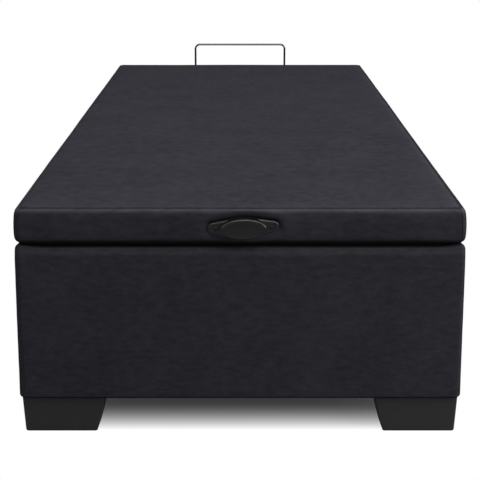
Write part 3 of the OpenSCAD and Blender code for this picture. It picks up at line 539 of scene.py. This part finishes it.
# between its corners, where less cloth is sewn together, the outer edge sinks deeper
points = []
for inset, height in profile:
    seam = SEAM_DEPTH if inset < BOX_CORNER_R else 0
    radius = max(BOX_CORNER_R - inset, INNER_CORNER_R)
    sinking = EDGE_SINK * max(0, 1 - (top - height) / SINK_FALL)
    sinking *= max(0, min(1, (SINK_IN - inset) / SINK_WIDTH))
    for p in ring(bed_half.x - inset, bed_half.y - inset, radius, seam):
        from_corner = max(bed_half.x - abs(p.x), bed_half.y - abs(p.y))
        sunk = sinking * (1 - math.exp(-(from_corner / CORNER_REACH) ** 2))
        points.append((p.x + bed_middle.x, p.y + bed_middle.y, height - sunk))
count = len(points) // len(profile)
box_cloth = mesh_piece("box_suede_cover", points, loft_faces(count, len(profile)), suede)
unsettle(box_cloth, BOX_WAVES)
# painted shade in the gap under the lid, and a painted highlight in a line below it
mark_rings(box_cloth, "painted_edge_light_and_shade", count,
           [-GAP_PAINTED_SHADE * min(1, max(0, inset) / GAP_PAINTED_SHADE_IN) if top - height < BOX_EDGE_HEIGHT else 0
            for inset, height in profile])
mark_rings(box_cloth, "painted_highlight_mark", count,
           [BOX_PAINTED_HIGHLIGHT * math.exp(-((top - height - BOX_HIGHLIGHT_DEPTH) / BOX_HIGHLIGHT_FALL) ** 2)
            for inset, height in profile])
thicken(box_cloth, CLOTH_THICKNESS)
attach(box_cloth, "box")
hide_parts("box_cover")


# The dust cloth under the box
# It is a sheet of black spunbond polypropylene, bonded in a grid of small dots, stapled under the box
# so that nobody looks into it. It hangs almost flat between its staples.
DUST_BLACK = "#1b1b1d"
DUST_PALE = "#2a2a2d"
# about twice as coarse as a real grid, so that it shows
BOND_PITCH = 3 * MM
DUST_SHEET = 0.7 * MM
DUST_UNDER = 0.2 * MM
DUST_SAG = 0.5 * MM
SHEET_STEPS = (40, 90)
SHEET_WAVE_SHARE = 0.3
SHEET_WAVE_ACROSS = 90 * MM
SHEET_WAVE_ALONG = 140 * MM

dust_cloth = bare_material("black_spunbond_cloth")
place = add_node(dust_cloth, "ShaderNodeTexCoord", {}, {}).outputs["Object"]
bonds = add_node(dust_cloth, "ShaderNodeTexVoronoi", {"Scale": 1 / BOND_PITCH, "Randomness": 0.15},
                 {"Vector": place})
fibres = add_node(dust_cloth, "ShaderNodeTexNoise", {"Scale": 1 / BOND_PITCH, "Detail": 5.0},
                  {"Vector": place})
dot = add_node(dust_cloth, "ShaderNodeMapRange", {"From Min": 0.2, "From Max": 0.4}, {"Value": bonds})
two_toned(dust_cloth, (DUST_BLACK, DUST_PALE), fibres, dot, (0.6, 0.2 * MM),
          {"Roughness": 0.8, "Specular IOR Level": 0.25})


def cloth_sheet(name, low, high, height, sag):
    """A stretched sheet between two corners that hangs by its sag in the middle, with slight waves."""
    columns, rows = SHEET_STEPS
    points = []
    for j in range(rows + 1):
        for i in range(columns + 1):
            u, v = i / columns, j / rows
            x, y = low.x + (high.x - low.x) * u, low.y + (high.y - low.y) * v
            inner = math.sqrt(math.sin(math.pi * u) * math.sin(math.pi * v))
            wave = noise.noise(Vector((x / SHEET_WAVE_ACROSS, y / SHEET_WAVE_ALONG, 0)))
            points.append((x, y, height - sag * inner * (1 + SHEET_WAVE_SHARE * wave)))
    width = columns + 1
    faces = [(j * width + i, (j + 1) * width + i, (j + 1) * width + i + 1, j * width + i + 1)
             for j in range(rows) for i in range(columns)]
    return mesh_piece(name, points, faces, dust_cloth)


low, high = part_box("base_cloth")
base_sheet = cloth_sheet("base_dust_sheet", low, high, high.z - DUST_UNDER, DUST_SAG)
thicken(base_sheet, DUST_SHEET / 2)
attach(base_sheet, "box")
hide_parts("base_cloth")


# The hinges, the struts' brackets and their clips, and the studs of the feet
# They are pressed or turned mild steel, barrel-plated with bright zinc, which leaves a cool, slightly
# cloudy shine. The knuckles are rolled round loose pins.
ZINC = "#c3c6c8"
ZINC_CLOUD = 9 * MM

zinc = fine_finish("bright_zinc_plated_steel", ZINC_CLOUD, 4.0, (0.26, 0.46),
                   {"Base Color": linear(ZINC), "Metallic": 1.0})
dress(["hinge_box_leaves", "hinge_lid_leaves", "hinge_pins", "strut_box_bracket_left",
       "strut_box_bracket_right", "strut_lid_bracket_left", "strut_lid_bracket_right", "box_stud_clips",
       "lid_stud_clips", "foot_studs"], zinc)


# The gas struts
# The cylinder is a drawn steel tube in black enamel, with a welded eye. The rod is ground steel, plated
# with hard chrome, and slides through a black nylon gland, with a zinc-plated piston at its end.
ENAMEL = "#17181a"
HARD_CHROME = "#cfd1d4"
GLAND_BLACK = "#141415"
PEEL_SIZE = 4 * MM
# grinding and turning marks, coarser than real ones, so that they show
GRIND_PITCH = 0.8 * MM
TURNING_PITCH = 1.1 * MM

# stoved enamel is deep black and glossy, with a faint orange peel
enamel = bare_material("black_stoved_enamel")
place = add_node(enamel, "ShaderNodeTexCoord", {}, {}).outputs["Object"]
peel = add_node(enamel, "ShaderNodeTexNoise", {"Scale": 1 / PEEL_SIZE, "Detail": 1.0}, {"Vector": place})
relief = add_node(enamel, "ShaderNodeBump", {"Strength": 0.12, "Distance": 0.2 * MM}, {"Height": peel})
surface = add_node(enamel, "ShaderNodeBsdfPrincipled",
                   {"Base Color": linear(ENAMEL), "Roughness": 0.25, "Coat Weight": 0.4,
                    "Coat Roughness": 0.1}, {"Normal": relief})
add_node(enamel, "ShaderNodeOutputMaterial", {}, {"Surface": surface})
dress(["strut_cylinder_left", "strut_cylinder_right"], enamel)

# ground and plated steel mirrors the room, a little blurred by its scores
ground_chrome = fine_finish("ground_hard_chrome", GRIND_PITCH, 2.0, (0.08, 0.2),
                            {"Base Color": linear(HARD_CHROME), "Metallic": 1.0})
dress(["strut_rod_left", "strut_rod_right"], ground_chrome)

# turned nylon is black and rather dull
nylon = fine_finish("black_turned_nylon", TURNING_PITCH, 2.0, (0.35, 0.55),
                    {"Base Color": linear(GLAND_BLACK)})
dress(["strut_gland_left", "strut_gland_right"], nylon)
dress(["strut_piston_left", "strut_piston_right"], zinc)


# The lid's foam
# It is a slab of open-cell polyurethane foam on the deck with strips round the frame's sides, glued on.
# It is soft and pale yellow, with fine cells, and the cloth hides it.
FOAM_PALE = "#e6dcb4"
FOAM_DEEP = "#c9bb8a"
# about twice as coarse as real cells, so that they show
FOAM_CELL = 1.5 * MM
LID_CORNER_R = 14 * MM
LID_CROWN = 3.2 * MM
CROWN_POWERS = (14, 30)
CROWN_STEEP_SHARE = 0.7
CROWN_SLOW_SHARE = 0.3
BAND_LOW_IN = 9 * MM
BAND_LOW_RISE = 5 * MM
BAND_TOP_IN = 5.6 * MM
BAND_TOP_FALL = 13.5 * MM
BAND_ROUND_IN = 3.8 * MM
BAND_ROUND_HEIGHT = 9 * MM
BAND_STEPS = 44
BAND_CROWDING = 0.85
COVER_SPACE = 6.8 * MM
FOAM_TOP_SPACE = 5 * MM
FOAM_LOW = 6 * MM
FOAM_HOLLOW_IN = 10.2 * MM
FOAM_OVER_DECK = 0.3 * MM

foam = bare_material("open_cell_foam")
place = add_node(foam, "ShaderNodeTexCoord", {}, {}).outputs["Object"]
cells = add_node(foam, "ShaderNodeTexVoronoi", {"Scale": 1 / FOAM_CELL}, {"Vector": place})
two_toned(foam, (FOAM_DEEP, FOAM_PALE), cells, cells, (0.8, 0.4 * MM),
          {"Roughness": 0.95, "Specular IOR Level": 0.1})

lid_low, lid_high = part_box("lid_cover")
lid_middle = (lid_low + lid_high) / 2
lid_half = (lid_high - lid_low) / 2
lid_edge = lid_high.z - LID_CROWN
band_height = lid_edge - lid_low.z


def crown(x, y, rise):
    """Height of a padded panel above its edge seam: steep near the seam and almost flat in the middle."""
    u, v = abs(x) / lid_half.x, abs(y) / lid_half.y
    steep = (1 - u ** CROWN_POWERS[0]) * (1 - v ** CROWN_POWERS[1])
    slow = (1 - u ** 2) * (1 - v ** 2)
    return rise * (CROWN_STEEP_SHARE * steep + CROWN_SLOW_SHARE * slow)


def panel(edge, height_at):
    """Points and faces of a panel that fills a ring: the inner points of a grid whose border is the ring."""
    columns, rows = [2 * len(CORNER_TURNS) - 2 + steps for steps in STRAIGHTS]
    total = len(edge)

    def border(i, j):
        if j == 0:
            return i
        if i == columns:
            return columns + j
        if j == rows:
            return 2 * columns + rows - i
        return (2 * (columns + rows) - j) % total

    points, faces = [], []
    first, across = edge[0], edge[columns] - edge[0]
    upward = edge[(2 * columns + rows) % total] - edge[0]
    for j in range(1, rows):
        left, right = edge[border(0, j)], edge[border(columns, j)]
        v = (left.y - first.y) / upward.y
        for i in range(1, columns):
            front, back = edge[i], edge[border(i, rows)]
            u = (front.x - first.x) / across.x
            flat = front.lerp(back, v) + left.lerp(right, u) - (first + u * across + v * upward)
            points.append((flat.x, flat.y, height_at(flat.x, flat.y)))

    def spot(i, j):
        inside = 0 < i < columns and 0 < j < rows
        return total + (j - 1) * (columns - 1) + i - 1 if inside else border(i, j)

    for j in range(rows):
        for i in range(columns):
            faces.append((spot(i, j), spot(i + 1, j), spot(i + 1, j + 1), spot(i, j + 1)))
    return points, faces


def padded_form(profile, seam, height_at):
    """Points and faces of an open-bottomed form, rings from its bottom to its edge seam and then a panel,
    and how many points a ring has."""
    points = [(p.x, p.y, height) for inset, height in profile
              for p in ring(lid_half.x - inset, lid_half.y - inset, LID_CORNER_R, seam)]
    count = len(points) // len(profile)
    last = len(points) - count
    inner, faces = panel([Vector(p[:2]) for p in points[last:]], height_at)
    faces = loft_faces(count, len(profile)) + [tuple(last + k for k in f) for f in faces]
    return [(x + lid_middle.x, y + lid_middle.y, z) for x, y, z in points + inner], faces, count


def joined(forms):
    """The points and faces of several forms as one."""
    points, faces = [], []
    for new_points, new_faces in forms:
        faces += [tuple(len(points) + k for k in f) for f in new_faces]
        points += new_points
    return points, faces


def band(height):
    """How far the lid's side lies inside its widest line, at a height over the lid's lower edge."""
    depth = band_height - height
    turn = 1 - min(1, depth / BAND_ROUND_HEIGHT)
    return (BAND_LOW_IN * math.exp(-height / BAND_LOW_RISE) + BAND_TOP_IN * math.exp(-depth / BAND_TOP_FALL)
            + BAND_ROUND_IN * (1 - math.sqrt(1 - turn ** 2)))


# heights that lie close together near both edges
shares = [k / BAND_STEPS for k in range(BAND_STEPS + 1)]
heights = [band_height * (t - BAND_CROWDING * math.sin(2 * math.pi * t) / (2 * math.pi)) for t in shares]
foam_edge = lid_edge - FOAM_TOP_SPACE
squeeze = (foam_edge - lid_low.z) / band_height
outer = [(band(h) + COVER_SPACE, lid_low.z + h * squeeze) for h in heights if h > FOAM_LOW]
deck_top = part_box("lid_deck")[1].z
inner = [(FOAM_HOLLOW_IN, outer[0][1])]
inner += line(inner[-1], (FOAM_HOLLOW_IN, deck_top), 3)

outer_points, outer_faces, count = padded_form(
    outer, 0, lambda x, y: foam_edge + crown(x, y, LID_CROWN + FOAM_TOP_SPACE / 2))
inner_points, inner_faces, count = padded_form(inner, 0, lambda x, y: deck_top + FOAM_OVER_DECK)
points, faces = joined([(outer_points, outer_faces), (inner_points, [f[::-1] for f in inner_faces])])
shift = len(outer_points)
faces += [(i, shift + i, shift + (i + 1) % count, (i + 1) % count) for i in range(count)]
foam_pad = mesh_piece("lid_foam_pad", points, faces, foam)
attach(foam_pad, "lid")
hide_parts("lid_foam")


# The lid's cloth cover
# It is the same suede, cut as a top panel and a band. They are sewn together along the top edge, which
# leaves a fine sunken seam behind a soft round edge, and the band has a seam at each corner. The cover is
# drawn tight over the foam and stapled under the frame.
LID_HEM = 46.5 * MM
LID_HEM_TURN_SHARE = 1.1
LID_WAVES = ((0.7 * MM, (0.25, 0.35, 0.2)), (0.25 * MM, (0.06, 0.09, 0.01)))
EDGE_SEAM_DEPTH = 1.8 * MM
EDGE_SEAM_HALF = 3 * MM
# the edge seam's places inwards, depths and painted shade
EDGE_SEAM_SHARES = ((0, 0, 0.5), (0.3, 0.25, 0.75), (0.7, 0.8, 0.95), (1, 1, 1), (1.3, 0.8, 0.85),
                    (1.7, 0.25, 0.5), (2, 0, 0.1))
# how much of the painted seam shade is left along the lid's long sides
SIDE_SEAM_SHARE = 0.3
# the painted highlight on the top panel towards its right and near edges: its strengths and falls
PANEL_HIGHLIGHT_RIGHT = 0.5
PANEL_HIGHLIGHT_RIGHT_FALL = 7 * MM
PANEL_HIGHLIGHT_NEAR = 0.3
PANEL_HIGHLIGHT_NEAR_FALL = 30 * MM
# the painted shade just under the edge seam, and how fast it fades
LIP_PAINTED_SHADE = 1.5
LIP_FALL = 1 * MM
# The pull's screws draw its plate into the padding, which swells up round it
PULL_W = 142 * MM
PLATE_H = 40 * MM
CUP_W = 92 * MM
EAR_R = 11 * MM
PULL_TILT = math.radians(1.8)
PULL_STEPS = 96
PRESS_DEPTH = 4.8 * MM
PRESS_FALL = 5.5 * MM
PRESS_SWELL = 0.8 * MM
PRESS_SWELL_OFF = 13.75 * MM
PRESS_SWELL_SPREAD = 8.25 * MM
PRESS_FIELD = 30 * MM
PRESS_CUTS = 3
NEAR_SIDE_DEPTH = 8 * MM

profile = [(LID_HEM, lid_low.z)]
profile += line(profile[-1], (band(0) * LID_HEM_TURN_SHARE, lid_low.z), 6)
profile += [(band(h), lid_low.z + h) for h in heights]
seam_in, seam_z = profile.pop()
profile += [(seam_in + EDGE_SEAM_HALF * along, seam_z - EDGE_SEAM_DEPTH * down)
            for along, down, dark in EDGE_SEAM_SHARES]
points, faces, count = padded_form(profile, SEAM_DEPTH, lambda x, y: lid_edge + crown(x, y, LID_CROWN))
lid_cloth = mesh_piece("lid_suede_cover", points, faces, suede)
unsettle(lid_cloth, LID_WAVES)

# how strong the painted highlight is over an edge: 1 on the band, 0 on the top panel; below 0 it is
# painted shade, just under the seam and deepest, -1, in it
edge_light_marks = [1 - LIP_PAINTED_SHADE * math.exp(-((seam_z - height) / LIP_FALL) ** 2)
             for inset, height in profile[:-len(EDGE_SEAM_SHARES)]]
edge_light_marks += [-dark for along, down, dark in EDGE_SEAM_SHARES]
mark_rings(lid_cloth, "painted_edge_light_and_shade", count, edge_light_marks)
# the painted seam shade is weaker along the lid's long sides
for vertex, mark in zip(lid_cloth.data.vertices, lid_cloth.data.attributes["painted_edge_light_and_shade"].data):
    on_side = lid_half.x - abs(vertex.co.x) < lid_half.y - abs(vertex.co.y - lid_middle.y)
    if mark.value < 0 and on_side:
        mark.value *= SIDE_SEAM_SHARE

# a painted highlight pales the top panel towards its right and near edges
inside_seam = seam_in + 2 * EDGE_SEAM_HALF
panel_highlight = lid_cloth.data.attributes.new("painted_highlight_mark", "FLOAT", "POINT").data
for i in range(len(profile) * count, len(lid_cloth.data.vertices)):
    spot = lid_cloth.data.vertices[i].co
    panel_highlight[i].value = (PANEL_HIGHLIGHT_RIGHT * math.exp(-(lid_high.x - inside_seam - spot.x) / PANEL_HIGHLIGHT_RIGHT_FALL)
                        + PANEL_HIGHLIGHT_NEAR * math.exp(-(spot.y - lid_low.y - inside_seam) / PANEL_HIGHLIGHT_NEAR_FALL))

pull_low, pull_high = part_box("pull_handle")
pull_middle = (pull_low + pull_high) / 2


def plate_outline(inset=0.0):
    """The pull's plate from in front: the outer points, turn by turn, of an oval and an ear at each end."""
    outline = []
    for k in range(PULL_STEPS):
        turn = 2 * math.pi * k / PULL_STEPS
        c, s = math.cos(turn), math.sin(turn)
        oval = math.hypot(CUP_W / 2 * c, PLATE_H / 2 * s)
        ear_x = math.copysign(PULL_W / 2 - EAR_R, c)
        if oval > abs(ear_x * c) + EAR_R:
            x, y = (CUP_W / 2) ** 2 * c / oval, (PLATE_H / 2) ** 2 * s / oval
        else:
            x, y = ear_x + EAR_R * c, EAR_R * s
        outline.append((x - inset * c, y - inset * s))
    return outline


def past_plate(places):
    """How far points on the lid's near side lie outside the plate's outline, and 0 behind the plate."""
    flat = np.array([(p.x - pull_middle.x, p.z - pull_middle.z) for p in places])
    c, s = math.cos(PULL_TILT), math.sin(PULL_TILT)
    flat = flat @ np.array([[c, -s], [s, c]])
    starts = np.array(plate_outline())
    sides = np.roll(starts, -1, axis=0) - starts
    nearest, outside = np.full(len(flat), np.inf), np.zeros(len(flat), bool)
    for start, side in zip(starts, sides):
        away = flat - start
        share = np.clip(away @ side / (side @ side), 0, 1)
        nearest = np.minimum(nearest, np.linalg.norm(away - share[:, None] * side, axis=1))
        outside |= side[0] * away[:, 1] - side[1] * away[:, 0] < 0
    return np.where(outside, nearest, 0.0)


finer = bmesh.new()
finer.from_mesh(lid_cloth.data)
near_side = lid_low.y + NEAR_SIDE_DEPTH
near = [v for v in finer.verts if v.co.y < near_side]
close = {v for v, away in zip(near, past_plate([v.co for v in near])) if away < PRESS_FIELD}
bmesh.ops.subdivide_edges(finer, edges=[e for e in finer.edges if close.issuperset(e.verts)],
                          cuts=PRESS_CUTS, use_grid_fill=True)
near = [v for v in finer.verts if v.co.y < near_side]
for vertex, away in zip(near, past_plate([v.co for v in near])):
    vertex.co.y += (PRESS_DEPTH * math.exp(-away / PRESS_FALL)
                    - PRESS_SWELL * math.exp(-((away - PRESS_SWELL_OFF) / PRESS_SWELL_SPREAD) ** 2))
finer.to_mesh(lid_cloth.data)
finer.free()
thicken(lid_cloth, CLOTH_THICKNESS)
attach(lid_cloth, "lid")
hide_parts("lid_cover")


# The lid's lining and its staples
# A sheet of the same black spunbond closes the lid's underside. It is held with galvanised wire staples,
# one about every seven centimetres, and hangs a little between them.
STAPLE_PITCH = 70 * MM
STAPLE_WIDTH = 10 * MM
STAPLE_WIRE = 0.9 * MM
LINING_EDGE = 8 * MM
LINING_SAG = 2.5 * MM
LINING_OVER = 1.2 * MM
STAPLE_OVER = 0.3 * MM
BRIDGE_SHARE = 0.2

low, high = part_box("lid_lining")
lining = cloth_sheet("lid_lining_sheet", low, high, low.z + LINING_OVER, LINING_SAG)
thicken(lining, DUST_SHEET)
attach(lining, "lid")
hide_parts("lid_lining")


def closed_loft_faces(count, rings):
    """Faces of a loft whose first and last rings are closed."""
    last = (rings - 1) * count
    return loft_faces(count, rings) + [tuple(reversed(range(count))), tuple(range(last, last + count))]


def staple(centre, along, down):
    """The bridge of one wire staple, with its two ends bent into the cloth."""
    reach = along * STAPLE_WIDTH / 2
    bridge = down * STAPLE_WIRE * BRIDGE_SHARE
    path = [-reach - down * STAPLE_WIRE, -reach + bridge, reach + bridge, reach - down * STAPLE_WIRE]
    across = along.cross(down)
    points = []
    for p in path:
        for a, b in ((-1, -1), (1, -1), (1, 1), (-1, 1)):
            points.append(centre + p + (across * a + down * b) * STAPLE_WIRE / 2)
    return points, closed_loft_faces(4, len(path))


edge_x, edge_y = high.x - LINING_EDGE, high.y - LINING_EDGE
low_y = low.y + LINING_EDGE
height = low.z + STAPLE_OVER
rows = [(Vector((x, y, height)), Vector((0, 1, 0))) for x in (-edge_x, edge_x)
        for y in np.arange(low_y + STAPLE_PITCH / 2, edge_y, STAPLE_PITCH)]
rows += [(Vector((x, y, height)), Vector((1, 0, 0))) for y in (low_y, edge_y)
         for x in np.arange(-edge_x + STAPLE_PITCH / 2, edge_x, STAPLE_PITCH)]
points, faces = joined(staple(centre, along, Vector((0, 0, -1))) for centre, along in rows)
staples = mesh_piece("lining_staples", points, faces, zinc, smooth=False)
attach(staples, "lid")


# The cup pull
# It is one injection moulding in black nylon: a flat plate with a screw ear at each end and a deep oval
# cup with a softly domed face, open below for the fingers. Its skin is satin, and its edges catch light.
PULL_BLACK = "#0b0b0c"
CUP_H = 40 * MM
CUP_D = 17 * MM
CUP_WALL = 2.4 * MM
PLATE_T = 3 * MM
PLATE_EDGE_R = 2.4 * MM
MOUTH_W_SHARE = 0.84
MOUTH_TOP_SHARE = 0.25
PULL_PITCH = 110 * MM
SCREW_WELL_R = 6 * MM
SCREW_WELL_DEPTH = 1.6 * MM
WELL_STEPS = 48
PULL_EDGE = 1 * MM
PULL_EDGE_ANGLE = math.radians(35)
RIM_LOOP_SHARE = 0.2
CUT_OVERRUN = 1 * MM
# coarser than the real grain, so that it shows
SATIN_GRAIN = 0.7 * MM
# depth and size of the cup's skin from the lid outwards, as shares of its depth and half axes
CUP_SHARES = ((0.0, 1.03), (0.35, 1.02), (0.7, 1.01), (0.82, 1.003), (0.9, 0.99), (0.96, 0.967),
              (0.99, 0.94), (1.0, 0.91), (0.997, 0.885), (0.99, 0.865), (0.985, 0.84), (0.986, 0.78),
              (0.993, 0.66), (1.004, 0.48), (1.013, 0.28), (1.018, 0.1))
CUP_INNER_SHARES = ((0.0, 1.03), (0.6, 1.0), (0.85, 0.93), (0.97, 0.8))

pull_plastic = fine_finish("moulded_black_nylon", SATIN_GRAIN, 2.0, (0.2, 0.3),
                           {"Base Color": linear(PULL_BLACK), "Specular IOR Level": 0.42},
                           relief=(0.2, 0.05 * MM))


def oval_loft(shares, depth, width, height):
    """A closed form of oval rings, from the first to the last."""
    turns = [2 * math.pi * k / PULL_STEPS for k in range(PULL_STEPS)]
    points = [(size * width / 2 * math.cos(t), size * height / 2 * math.sin(t), out * depth)
              for out, size in shares for t in turns]
    return points, closed_loft_faces(PULL_STEPS, len(shares))


def settle(piece):
    """Replaces a piece's mesh with the one that its modifiers make."""
    bpy.context.view_layer.update()
    made = bpy.data.meshes.new_from_object(piece.evaluated_get(bpy.context.evaluated_depsgraph_get()))
    piece.modifiers.clear()
    piece.data = made


def cut(piece, tool, operation):
    """Applies one boolean operation with a tool piece, and removes the tool."""
    modifier = piece.modifiers.new("cut", "BOOLEAN")
    modifier.operation = operation
    modifier.solver = "EXACT"
    modifier.object = tool
    settle(piece)
    bpy.data.objects.remove(tool)


def tool_piece(name, form, matrix):
    """A piece to cut with, from a bmesh and its place."""
    piece = mesh_piece(name, [], [], pull_plastic)
    form.to_mesh(piece.data)
    form.free()
    piece.data.transform(matrix)
    return piece


rim = [(0, 0), (0, RIM_LOOP_SHARE * (PLATE_T - PLATE_EDGE_R))]
rim += [(PLATE_EDGE_R - x, PLATE_T - PLATE_EDGE_R + z)
        for x, z in arc((0, 0), PLATE_EDGE_R, 0, 90, 6)]
points = [(x, y, z) for inset, z in rim for x, y in plate_outline(inset)]
pull = mesh_piece("cup_pull", points, closed_loft_faces(PULL_STEPS, len(rim)), pull_plastic)
cup = mesh_piece("cup", *oval_loft(CUP_SHARES, CUP_D, CUP_W, CUP_H), pull_plastic)
cut(pull, cup, "UNION")
hollow = mesh_piece("hollow", *oval_loft(CUP_INNER_SHARES, CUP_D - CUP_WALL, CUP_W - 2 * CUP_WALL,
                                         CUP_H - 2 * CUP_WALL), pull_plastic)
hollow.data.transform(Matrix.Translation((0, 0, -CUT_OVERRUN)))
cut(pull, hollow, "DIFFERENCE")
mouth = bmesh.new()
bmesh.ops.create_cube(mouth, size=1)
mouth_low = Vector((-CUP_W * MOUTH_W_SHARE / 2, -CUP_H, -CUT_OVERRUN))
mouth_high = Vector((CUP_W * MOUTH_W_SHARE / 2, -CUP_H * MOUTH_TOP_SHARE, CUP_D - CUP_WALL))
mouth_place = (Matrix.Translation((mouth_low + mouth_high) / 2)
               @ Matrix.Diagonal((*(mouth_high - mouth_low), 1)))
cut(pull, tool_piece("mouth", mouth, mouth_place), "DIFFERENCE")
for side in (-1, 1):
    well = bmesh.new()
    bmesh.ops.create_cone(well, cap_ends=True, segments=WELL_STEPS, radius1=SCREW_WELL_R,
                          radius2=SCREW_WELL_R, depth=2 * SCREW_WELL_DEPTH)
    well_place = Matrix.Translation((side * PULL_PITCH / 2, 0, PLATE_T))
    cut(pull, tool_piece("well", well, well_place), "DIFFERENCE")
soft_edge = pull.modifiers.new("moulded_edge", "BEVEL")
soft_edge.width = PULL_EDGE
soft_edge.segments = 3
soft_edge.limit_method = "ANGLE"
soft_edge.angle_limit = PULL_EDGE_ANGLE
settle(pull)
pull_place = Matrix.Translation((pull_middle.x, pull_high.y, pull_middle.z))
pull.data.transform(pull_place @ Matrix.Rotation(-PULL_TILT, 4, "Y") @ Matrix.Rotation(math.pi / 2, 4, "X"))
for polygon in pull.data.polygons:
    polygon.use_smooth = True
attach(pull, "lid")
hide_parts("pull_handle")


# The mattress bar
# It is a steel rod bent cold at both ends and plated with bright chrome, so it mirrors the white room
# with thin dark lines. Its ends are pressed flat and drilled, and sit against the lid's far side.
BAR_CHROME = "#626466"
HAZE_SIZE = 8.33 * MM

# its colour is a darker grey than clean chrome's, so that the bar looks as grey as in the photograph
chrome = fine_finish("bright_chrome_plate", HAZE_SIZE, 3.0, (0.05, 0.12),
                     {"Base Color": linear(BAR_CHROME), "Metallic": 1.0})
dress(["mattress_bar"], chrome)


# The screws
# They are pan-head wood screws with a cross recess, cold-headed from steel wire and zinc-plated, apart
# from the two in the pull, which are blackened to match it.
SCREW_BLACK = "#141415"
# coarser than real wear, so that it shows
WORN_SIZE = 1.43 * MM
HEAD_R = 4 * MM
HEAD_T = 2.6 * MM
SHANK_R = 2 * MM
TIP_R = 0.6 * MM
TIP_LENGTH = 4 * MM
RECESS_REACH = 2.3 * MM
RECESS_HALF = 0.5 * MM
RECESS_DEPTH = 1.5 * MM
# radius and height of the head's skin, the height of the recess's mouth and the width of its floor
HEAD_SHARES = ((1, 0), (1, 0.35), (0.93, 0.62), (0.8, 0.84), (0.68, 0.94))
RECESS_MOUTH_SHARE = 0.98
RECESS_FLOOR_SHARE = 0.8
HEAD_STEPS = 48
SCREW_TURN = math.radians(37)
SAME_POINT = 0.01 * MM

# blackened steel is dull and nearly black
black_steel = fine_finish("blackened_steel", WORN_SIZE, 3.0, (0.45, 0.7),
                          {"Base Color": linear(SCREW_BLACK), "Specular IOR Level": 0.3})


def solids_of(node):
    """The points of each separate solid of a carried-over node."""
    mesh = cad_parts[node].data
    parent = {}

    def root(key):
        while parent[key] != key:
            parent[key] = parent[parent[key]]
            key = parent[key]
        return key

    keys = [tuple(round(c / SAME_POINT) for c in v.co) for v in mesh.vertices]
    for key in keys:
        parent.setdefault(key, key)
    for polygon in mesh.polygons:
        first = root(keys[polygon.vertices[0]])
        for k in polygon.vertices[1:]:
            parent[root(keys[k])] = first
    groups = {}
    for key, vertex in zip(keys, mesh.vertices):
        groups.setdefault(root(key), []).append(vertex.co.copy())
    return list(groups.values())


def screw_mesh(length):
    """Points and faces of one screw, its head's seat at the origin and its head along +Z."""
    rounds = [(TIP_R, -length), (SHANK_R, TIP_LENGTH - length), (SHANK_R, 0)]
    rounds += [(radius * HEAD_R, height * HEAD_T) for radius, height in HEAD_SHARES]
    crosses = [(1, RECESS_MOUTH_SHARE * HEAD_T), (RECESS_FLOOR_SHARE, HEAD_T - RECESS_DEPTH)]
    turns = [2 * math.pi * (k + 0.5) / HEAD_STEPS for k in range(HEAD_STEPS)]
    reaches = [min(RECESS_REACH, RECESS_HALF / min(abs(math.sin(t)), abs(math.cos(t)))) for t in turns]
    points = [(radius * math.cos(t), radius * math.sin(t), z) for radius, z in rounds for t in turns]
    points += [(size * reach * math.cos(t), size * reach * math.sin(t), z)
               for size, z in crosses for t, reach in zip(turns, reaches)]
    return points, closed_loft_faces(HEAD_STEPS, len(rounds + crosses))


def screws_for(node, body, material, sunk=0.0):
    """Screws with cross recesses in place of a node's plain ones, each turned a little further."""
    screws = []
    for number, solid in enumerate(solids_of(node)):
        low = Vector(map(min, *solid))
        high = Vector(map(max, *solid))
        size = high - low
        axis = max(range(3), key=lambda k: size[k])
        middle = (low + high) / 2
        across = Vector([0 if k == axis else 1 for k in range(3)])
        spread = [max(((p - middle) * across).length for p in solid if abs(p[axis] - limit) < HEAD_T)
                  for limit in (low[axis], high[axis])]
        sign = 1 if spread[1] > spread[0] else -1
        outward = Vector([sign if k == axis else 0 for k in range(3)])
        seat = Vector(middle)
        seat[axis] = (high if sign > 0 else low)[axis] - sign * (HEAD_T + sunk)
        spot = Matrix.Translation(seat) @ outward.to_track_quat("Z", "Y").to_matrix().to_4x4()
        spot = spot @ Matrix.Rotation(number * SCREW_TURN, 4, "Z")
        points, faces = screw_mesh(size[axis] - HEAD_T - sunk)
        screws.append(([spot @ Vector(p) for p in points], faces))
    piece = mesh_piece(node + "_recessed", *joined(screws), material, smooth=False)
    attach(piece, body)
    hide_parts(node)


screws_for("pull_screws", "lid", black_steel, sunk=SCREW_WELL_DEPTH)
for node, body in (("hinge_box_screws", "box"), ("hinge_lid_screws", "lid"), ("bar_screws", "lid"),
                   ("box_bracket_screws", "box"), ("lid_bracket_screws", "lid")):
    screws_for(node, body, zinc)
